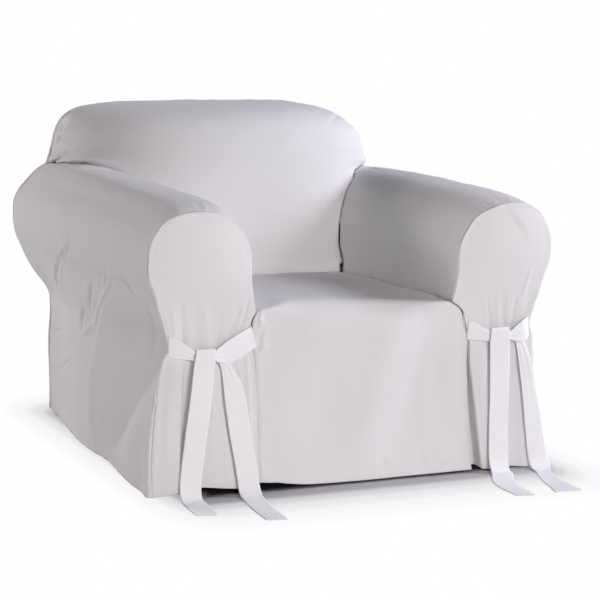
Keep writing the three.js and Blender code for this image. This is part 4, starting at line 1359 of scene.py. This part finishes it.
def cloth_material(name, colour, shade_colour):
    """Plain-woven cotton duck: threads both ways, a few slubs, and slightly uneven white."""
    made = bpy.data.materials.new(name)
    made.use_nodes = True
    nodes, links = made.node_tree.nodes, made.node_tree.links
    surface = nodes["Principled BSDF"]
    flat = nodes.new("ShaderNodeUVMap")
    flat.uv_map = "cloth"

    def mapped(scale):
        node = nodes.new("ShaderNodeMapping")
        node.inputs["Scale"].default_value = scale
        links.new(flat.outputs["UV"], node.inputs["Vector"])
        return node.outputs["Vector"]

    def noise(scale, detail):
        node = nodes.new("ShaderNodeTexNoise")
        node.inputs["Scale"].default_value = 1.0
        node.inputs["Detail"].default_value = detail
        links.new(mapped(scale), node.inputs["Vector"])
        return node.outputs["Fac"]

    def mix(kind, a, b, share=0.5):
        node = nodes.new("ShaderNodeMath")
        node.operation = kind
        for socket, value in zip(node.inputs, (a, b, share)):
            if isinstance(value, float):
                socket.default_value = value
            else:
                links.new(value, socket)
        return node.outputs[0]

    def threads(direction):
        node = nodes.new("ShaderNodeTexWave")
        node.wave_type = "BANDS"
        node.bands_direction = direction
        node.inputs["Scale"].default_value = THREADS
        node.inputs["Distortion"].default_value = 0.6
        node.inputs["Detail"].default_value = 1.0
        links.new(flat.outputs["UV"], node.inputs["Vector"])
        return node.outputs["Fac"]

    slubs = mix("ADD", noise(WARP_SLUBS, 2.0), noise(WEFT_SLUBS, 2.0))
    uneven = mix("MULTIPLY_ADD", noise(CLOUDS, 3.0), 0.5, 0.25)
    tone = mix("MULTIPLY_ADD", slubs, 0.5, uneven)
    ramp = nodes.new("ShaderNodeValToRGB")
    ramp.color_ramp.elements[0].position = 0.72
    ramp.color_ramp.elements[0].color = (*shade_colour, 1)
    ramp.color_ramp.elements[1].position = 1.0
    ramp.color_ramp.elements[1].color = (*colour, 1)
    links.new(tone, ramp.inputs["Fac"])
    links.new(ramp.outputs["Color"], surface.inputs["Base Color"])
    weave = mix("MULTIPLY", threads("X"), threads("Y"))
    raised = mix("MULTIPLY_ADD", slubs, 0.8, weave)
    bump = nodes.new("ShaderNodeBump")
    bump.inputs["Strength"].default_value = 0.12
    bump.inputs["Distance"].default_value = 0.0006
    links.new(raised, bump.inputs["Height"])
    links.new(bump.outputs["Normal"], surface.inputs["Normal"])
    surface.inputs["Roughness"].default_value = 0.92
    surface.inputs["Specular IOR Level"].default_value = 0.25
    surface.inputs["Sheen Weight"].default_value = 0.08
    surface.inputs["Sheen Roughness"].default_value = 0.6
    return made


duck = cloth_material("white_cotton_duck", (0.80, 0.79, 0.79), (0.76, 0.75, 0.755))
# Painted light: the ties use the same duck made lighter, so they read brighter than the lamps alone
# make them.
painted_lighter_strap_duck = cloth_material("strap_duck_painted_lighter", (0.92, 0.915, 0.92), (0.88, 0.875, 0.885))


# ------------------------------------------------------------------ the pieces
def finish(piece, node, material):
    """Gives a piece its cloth, sets it under the root body, and hides the node of the part it
    replaces.
    """
    piece.data.materials.append(material)
    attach(piece, "root")
    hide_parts(node)


def from_panel(name):
    """A panel's grid, with its lengths of cloth for the weave."""
    kept = PANELS[name]
    return kept["points"], cloth_lengths(kept["points"]), kept["turned"]


PIECES = {}
PANEL_GRIDS = {name: [name] for name in PANELS if not name.startswith("pleat")}
PANEL_GRIDS["seat"] = ["seat", "pleat_left", "pleat_right"]
for piece_name, grids in PANEL_GRIDS.items():
    PIECES[piece_name] = cloth_piece("cloth_" + piece_name, [from_panel(name) for name in grids])
    finish(PIECES[piece_name], piece_name, duck)

# ------------------------------------------------------------------ the ties
# Each strap, from its seam to its free end: its middle, its width as it lies gathered, and
# the way its width points, in degrees from straight across.
TIES = {
    "tie_left_outer": columns(
        "x y z wide turn",
        (-450, -1.4, 341, 47, 90),
        (-434, -5, 336, 43, 80),
        (-413, -8, 328, 31, 74),
        (-392, -9, 319, 20, 66),
        (-368, -7.5, 315, 18, 72),
        (-348, -6.5, 314, 18, 72),
        (-332, -6.5, 311, 20, 60),
        (-322, -7, 301, 22, 34),
        (-316, -8, 286, 25, 20),
        (-310, -11, 268, 34, 17),
        (-304, -13, 249, 43, 16),
        (-295, -13, 204, 49, 11),
        (-285, -13, 146, 50, 10),
        (-274, -13, 90, 50, 10),
        (-265, -14, 35, 50, 9),
        (-263, -22, 11, 50, 8),
        (-266, -46, 1.8, 50, 4),
        (-279, -124, 1.6, 49, -6),
        (-289, -228, 1.6, 46, -14),
    ),
    "tie_left_inner": columns(
        "x y z wide turn",
        (-250, -1.4, 353, 48, 107),
        (-277, -6, 340, 50, 114),
        (-303, -9, 327, 50, 116),
        (-324, -11, 317, 44, 116),
        (-340, -12, 315, 28, 110),
        (-354, -12, 317, 15, 90),
        (-364, -13, 322, 15, 45),
        (-368, -15, 331, 26, 12),
        (-369.5, -19, 334, 42, 0),
        (-370, -21.5, 326, 46, 0),
        (-373, -19, 295, 48, 0),
        (-376, -18, 262, 49, -1),
        (-381, -17, 211, 50, -3),
        (-387, -16, 163, 50, -5),
        (-394, -15, 102, 50, -6),
        (-399, -15, 62, 50, -6),
        (-402, -17, 30, 50, -6),
        (-403, -26, 9, 50, -6),
        (-404, -50, 1.8, 50, -7),
        (-408, -90, 1.6, 50, -9),
        (-413, -142, 1.6, 46, -14),
    ),
    "tie_right_outer": columns(
        "x y z wide turn",
        (446, -1.4, 337, 46, 96),
        (430, -10, 329, 48, 108),
        (414, -12, 322, 42, 112),
        (400, -12.5, 320, 28, 110),
        (386, -12.5, 320, 19, 104),
        (373, -12.5, 323, 15, 80),
        (364, -12.5, 328, 15, 45),
        (360.5, -14.5, 336.5, 27, 12),
        (359.3, -18.8, 341, 42, 0),
        (359.8, -22.8, 333, 48, 0),
        (361, -20, 303, 51, 0),
        (364, -17, 241, 51, 0),
        (365.5, -16, 174, 50, 0),
        (366.5, -15, 107, 50, -1),
        (368, -15, 56, 50, -2),
        (369, -17, 28, 50, -3),
        (368, -26, 9, 50, -6),
        (361, -50, 1.8, 50, -22),
        (341, -86, 1.6, 50, -28),
        (323, -126, 1.6, 50, -20),
        (314, -176, 1.6, 50, -13),
        (312, -240, 1.6, 43, -12),
    ),
    "tie_right_inner": columns(
        "x y z wide turn",
        (285, -1.4, 338, 46, 84),
        (301, -5, 333, 40, 79),
        (319, -8, 327, 32, 74),
        (338, -10, 321, 24, 68),
        (358, -9, 318, 19, 68),
        (380, -8, 318, 18, 76),
        (402, -6, 317, 18, 76),
        (416, -5.5, 311, 20, 56),
        (424, -6, 298, 23, 26),
        (430, -8.5, 278, 28, 16),
        (436, -12, 250, 34, 13),
        (445, -13, 201, 37, 10),
        (454, -13, 149, 41, 9),
        (463, -13, 99, 46, 9),
        (472, -13, 48, 49, 9),
        (476, -15, 26, 50, 8),
        (477, -24, 9, 50, 6),
        (472, -48, 1.8, 50, 16),
        (449, -98, 1.6, 50, 22),
        (434, -156, 1.6, 52, 12),
        (422, -240, 1.6, 68, -4),
    ),
}


def tie_points(table):
    """A strap as rows of places, from its seam to its free end, and its length."""
    count, ribs = TIE_GRID
    places = np.stack([table["x"], table["y"], table["z"]], axis=-1)
    spans = np.linalg.norm(np.diff(places, axis=0), axis=1)
    at = np.concatenate([[0], np.cumsum(spans)])
    close = np.sqrt(spans)
    knots = np.concatenate([[0], np.cumsum(close)])
    fine = np.interp(np.linspace(0, at[-1], count + 1), at, knots)
    middle = np.stack([through(knots, places[:, k])(fine) for k in range(3)], axis=-1)
    turn = np.radians(through(knots, table["turn"])(fine))
    half = through(knots, table["wide"])(fine) / 2
    on_floor = 1 - smooth(2, 12, middle[:, 2])
    lying = smooth(20, 45, -middle[:, 1]) * on_floor
    level = unit(np.stack([
        np.cos(turn),
        lying * np.sin(turn),
        (1 - lying) * np.sin(turn),
    ], axis=-1))
    share = np.linspace(-1, 1, ribs + 1)
    points = middle[:, None, :] + share[None, :, None] * half[:, None, None] * level[:, None, :]
    along = unit(np.gradient(middle, axis=0))
    face = unit(np.cross(level, along))
    gathered = np.clip(1 - 2 * half / STRAP, 0, 1)
    ripple = 2.2 * gathered[:, None] ** 1.6 * np.sin(2.4 * math.pi * share[None, :] + 0.8)
    seed = int(-middle[0, 0]) + 700
    down = np.linspace(0, 400, count + 1)[:, None]
    ease = 0.6 * rumple(30 * share[None, :], down, 90, seed) * (1 - lying[:, None])
    points = points + (ripple + ease)[..., None] * face[:, None, :]
    points[..., 2] = np.maximum(points[..., 2], STRAP_THICK / 2 + 0.1)
    length = np.concatenate([[0], np.cumsum(np.linalg.norm(np.diff(middle, axis=0), axis=1))])
    flat = (share[None, :] * STRAP / 2 + 0 * length[:, None], length[:, None] + 0 * share[None, :])
    return points, flat, length[-1]


TIE_LENGTH = {}
for tie, table in TIES.items():
    points, flat, TIE_LENGTH[tie] = tie_points(table)
    PIECES[tie] = cloth_piece("cloth_" + tie, [(points, flat, False)], STRAP_THICK, offset=0.0)
    finish(PIECES[tie], tie, painted_lighter_strap_duck)


# ------------------------------------------------------------------ floor, world and lamps
# The cover's outline on the floor: its middle and half its size, in metres from the frame's middle.
UNDER_MIDDLE = (0.05, 0.085, 0.0)
UNDER_HALF = (0.43, 0.475, 0.0)
# Painted shade: how dark the floor's colour is made under the cover, by how far inside that outline
# it lies.
PAINTED_SHADE_UNDER_COVER = (("From Min", -0.05), ("From Max", -0.012), ("To Min", 0.05), ("To Max", 0.5))
SIDES_FADE = (1.8, 1.0, 1.0)  # how much sooner the shadow fades at the sides
SHADOW_REACH = 0.3
# How white the floor has turned, by share of that reach.
WHITER = ((0.0, 0.0), (0.07, 0.0), (0.2, 0.45), (0.36, 0.72), (0.6, 0.9), (1.0, 1.0))


def vector_step(nodes, links, operation, vector, values):
    """One more piece of vector arithmetic in a material."""
    step = nodes.new("ShaderNodeVectorMath")
    step.operation = operation
    if values:
        step.inputs[1].default_value = values
    links.new(vector, step.inputs[0])
    return step


def number_step(nodes, links, operation, first, second):
    """One more piece of arithmetic in a material, with a link or a number second."""
    step = nodes.new("ShaderNodeMath")
    step.operation = operation
    links.new(first, step.inputs[0])
    if isinstance(second, float):
        step.inputs[1].default_value = second
    else:
        links.new(second, step.inputs[1])
    return step.outputs[0]


def blended(nodes, links, share, one, other):
    """Two finishes mixed: one where the share is 0, the other where it is 1."""
    blend = nodes.new("ShaderNodeMixShader")
    links.new(share, blend.inputs["Fac"])
    links.new(one, blend.inputs[1])
    links.new(other, blend.inputs[2])
    return blend.outputs[0]


def floor_material():
    """A pale floor with painted shade that the camera sees: darker near the cover, darkest under
    the hem, turning white farther out.
    """
    made = bpy.data.materials.new("pale_floor")
    made.use_nodes = True
    nodes, links = made.node_tree.nodes, made.node_tree.links
    surface = nodes["Principled BSDF"]
    surface.inputs["Base Color"].default_value = (0.9, 0.9, 0.9, 1)
    surface.inputs["Roughness"].default_value = 0.9
    surface.inputs["Specular IOR Level"].default_value = 0.1
    # painted shade: near the cover the camera sees this darker floor (0.5, falling to 0.05 under
    # the cover) on top of its real shadow, while other rays meet the 0.9 floor
    painted_shade_floor = nodes.new("ShaderNodeBsdfDiffuse")
    glow = nodes.new("ShaderNodeEmission")
    glow.inputs["Color"].default_value = (1, 1, 1, 1)
    glow.inputs["Strength"].default_value = 1.0
    # how far each place lies outside the cover's outline, or inside it
    beyond = nodes.new("ShaderNodeTexCoord").outputs["Object"]
    for operation, values in (
        ("SUBTRACT", UNDER_MIDDLE),
        ("ABSOLUTE", None),
        ("SUBTRACT", UNDER_HALF),
    ):
        beyond = vector_step(nodes, links, operation, beyond, values).outputs["Vector"]
    sides = nodes.new("ShaderNodeSeparateXYZ")
    links.new(beyond, sides.inputs[0])
    under = number_step(nodes, links, "MAXIMUM", sides.outputs["X"], sides.outputs["Y"])
    # painted shade: the floor's colour falls from 0.5 to 0.05 inside the cover's outline
    dark = nodes.new("ShaderNodeMapRange")
    dark.interpolation_type = "SMOOTHSTEP"
    for socket, value in PAINTED_SHADE_UNDER_COVER:
        dark.inputs[socket].default_value = value
    links.new(under, dark.inputs["Value"])
    links.new(dark.outputs["Result"], painted_shade_floor.inputs["Color"])
    # the camera sees it turn white with that distance
    for operation, values in (("MAXIMUM", (0.0, 0.0, 0.0)), ("MULTIPLY", SIDES_FADE)):
        beyond = vector_step(nodes, links, operation, beyond, values).outputs["Vector"]
    away = vector_step(nodes, links, "LENGTH", beyond, None).outputs["Value"]
    reach = number_step(nodes, links, "DIVIDE", away, SHADOW_REACH)
    fade = nodes.new("ShaderNodeValToRGB")
    fade.color_ramp.interpolation = "EASE"
    for stop, _ in WHITER[1:-1]:
        fade.color_ramp.elements.new(stop)
    for element, (stop, share) in zip(fade.color_ramp.elements, WHITER):
        element.position = stop
        element.color = (share, share, share, 1)
    links.new(reach, fade.inputs["Fac"])
    whiter = blended(nodes, links, fade.outputs["Color"], painted_shade_floor.outputs[0], glow.outputs[0])
    seen = nodes.new("ShaderNodeLightPath").outputs["Is Camera Ray"]
    blend = blended(nodes, links, seen, surface.outputs[0], whiter)
    links.new(blend, nodes["Material Output"].inputs["Surface"])
    return made


def floor():
    """A pale floor that reads as white away from the cover and keeps its shadow, with painted shade
    near and under the cover.
    """
    mesh_in_hand = bmesh.new()
    bmesh.ops.create_grid(mesh_in_hand, x_segments=1, y_segments=1, size=14.0)
    data = bpy.data.meshes.new("floor")
    mesh_in_hand.to_mesh(data)
    mesh_in_hand.free()
    made = bpy.data.objects.new("floor", data)
    bpy.context.collection.objects.link(made)
    data.materials.append(floor_material())


def world(colour, strength):
    """A dim sky; what the camera sees of it directly is white."""
    made = bpy.data.worlds.new("studio")
    bpy.context.scene.world = made
    made.use_nodes = True
    nodes, links = made.node_tree.nodes, made.node_tree.links
    sky = nodes["Background"]
    sky.inputs["Color"].default_value = (*colour, 1)
    sky.inputs["Strength"].default_value = strength
    white = nodes.new("ShaderNodeBackground")
    white.inputs["Color"].default_value = (1, 1, 1, 1)
    white.inputs["Strength"].default_value = 1.0
    seen = nodes.new("ShaderNodeLightPath").outputs["Is Camera Ray"]
    blend = blended(nodes, links, seen, sky.outputs[0], white.outputs[0])
    links.new(blend, nodes["World Output"].inputs["Surface"])


def lamp(name, place, target, size, power, colour):
    """A soft square lamp that faces the cover."""
    data = bpy.data.lights.new(name, "AREA")
    data.shape = "RECTANGLE"
    data.size, data.size_y = size
    data.energy = power
    data.color = colour
    made = bpy.data.objects.new(name, data)
    made.location = place
    made.rotation_euler = (Vector(target) - Vector(place)).to_track_quat("-Z", "Y").to_euler()
    bpy.context.collection.objects.link(made)


floor()
world((0.95, 0.96, 1.0), 0.02)
WARM, PLAIN, COOL = (1.0, 0.945, 0.935), (1.0, 0.955, 0.96), (0.83, 0.86, 1.0)
# Each row: name, place, what it faces, its size, its power in watts and its colour.
LAMPS = (
    ("front", (-0.59, -6.64, 2.26), (0.0, 0.1, 0.45), (2.2, 2.2), 234.0, WARM),
    ("left_rear", (-4.35, 5.28, 2.26), (0.0, 0.1, 0.45), (2.2, 2.2), 260.0, PLAIN),
    ("right", (3.83, -0.58, 2.52), (0.0, 0.0, 0.45), (1.8, 1.8), 163.0, COOL),
)
for row in LAMPS:
    lamp(*row)

bpy.context.scene.view_settings.view_transform = "Standard"
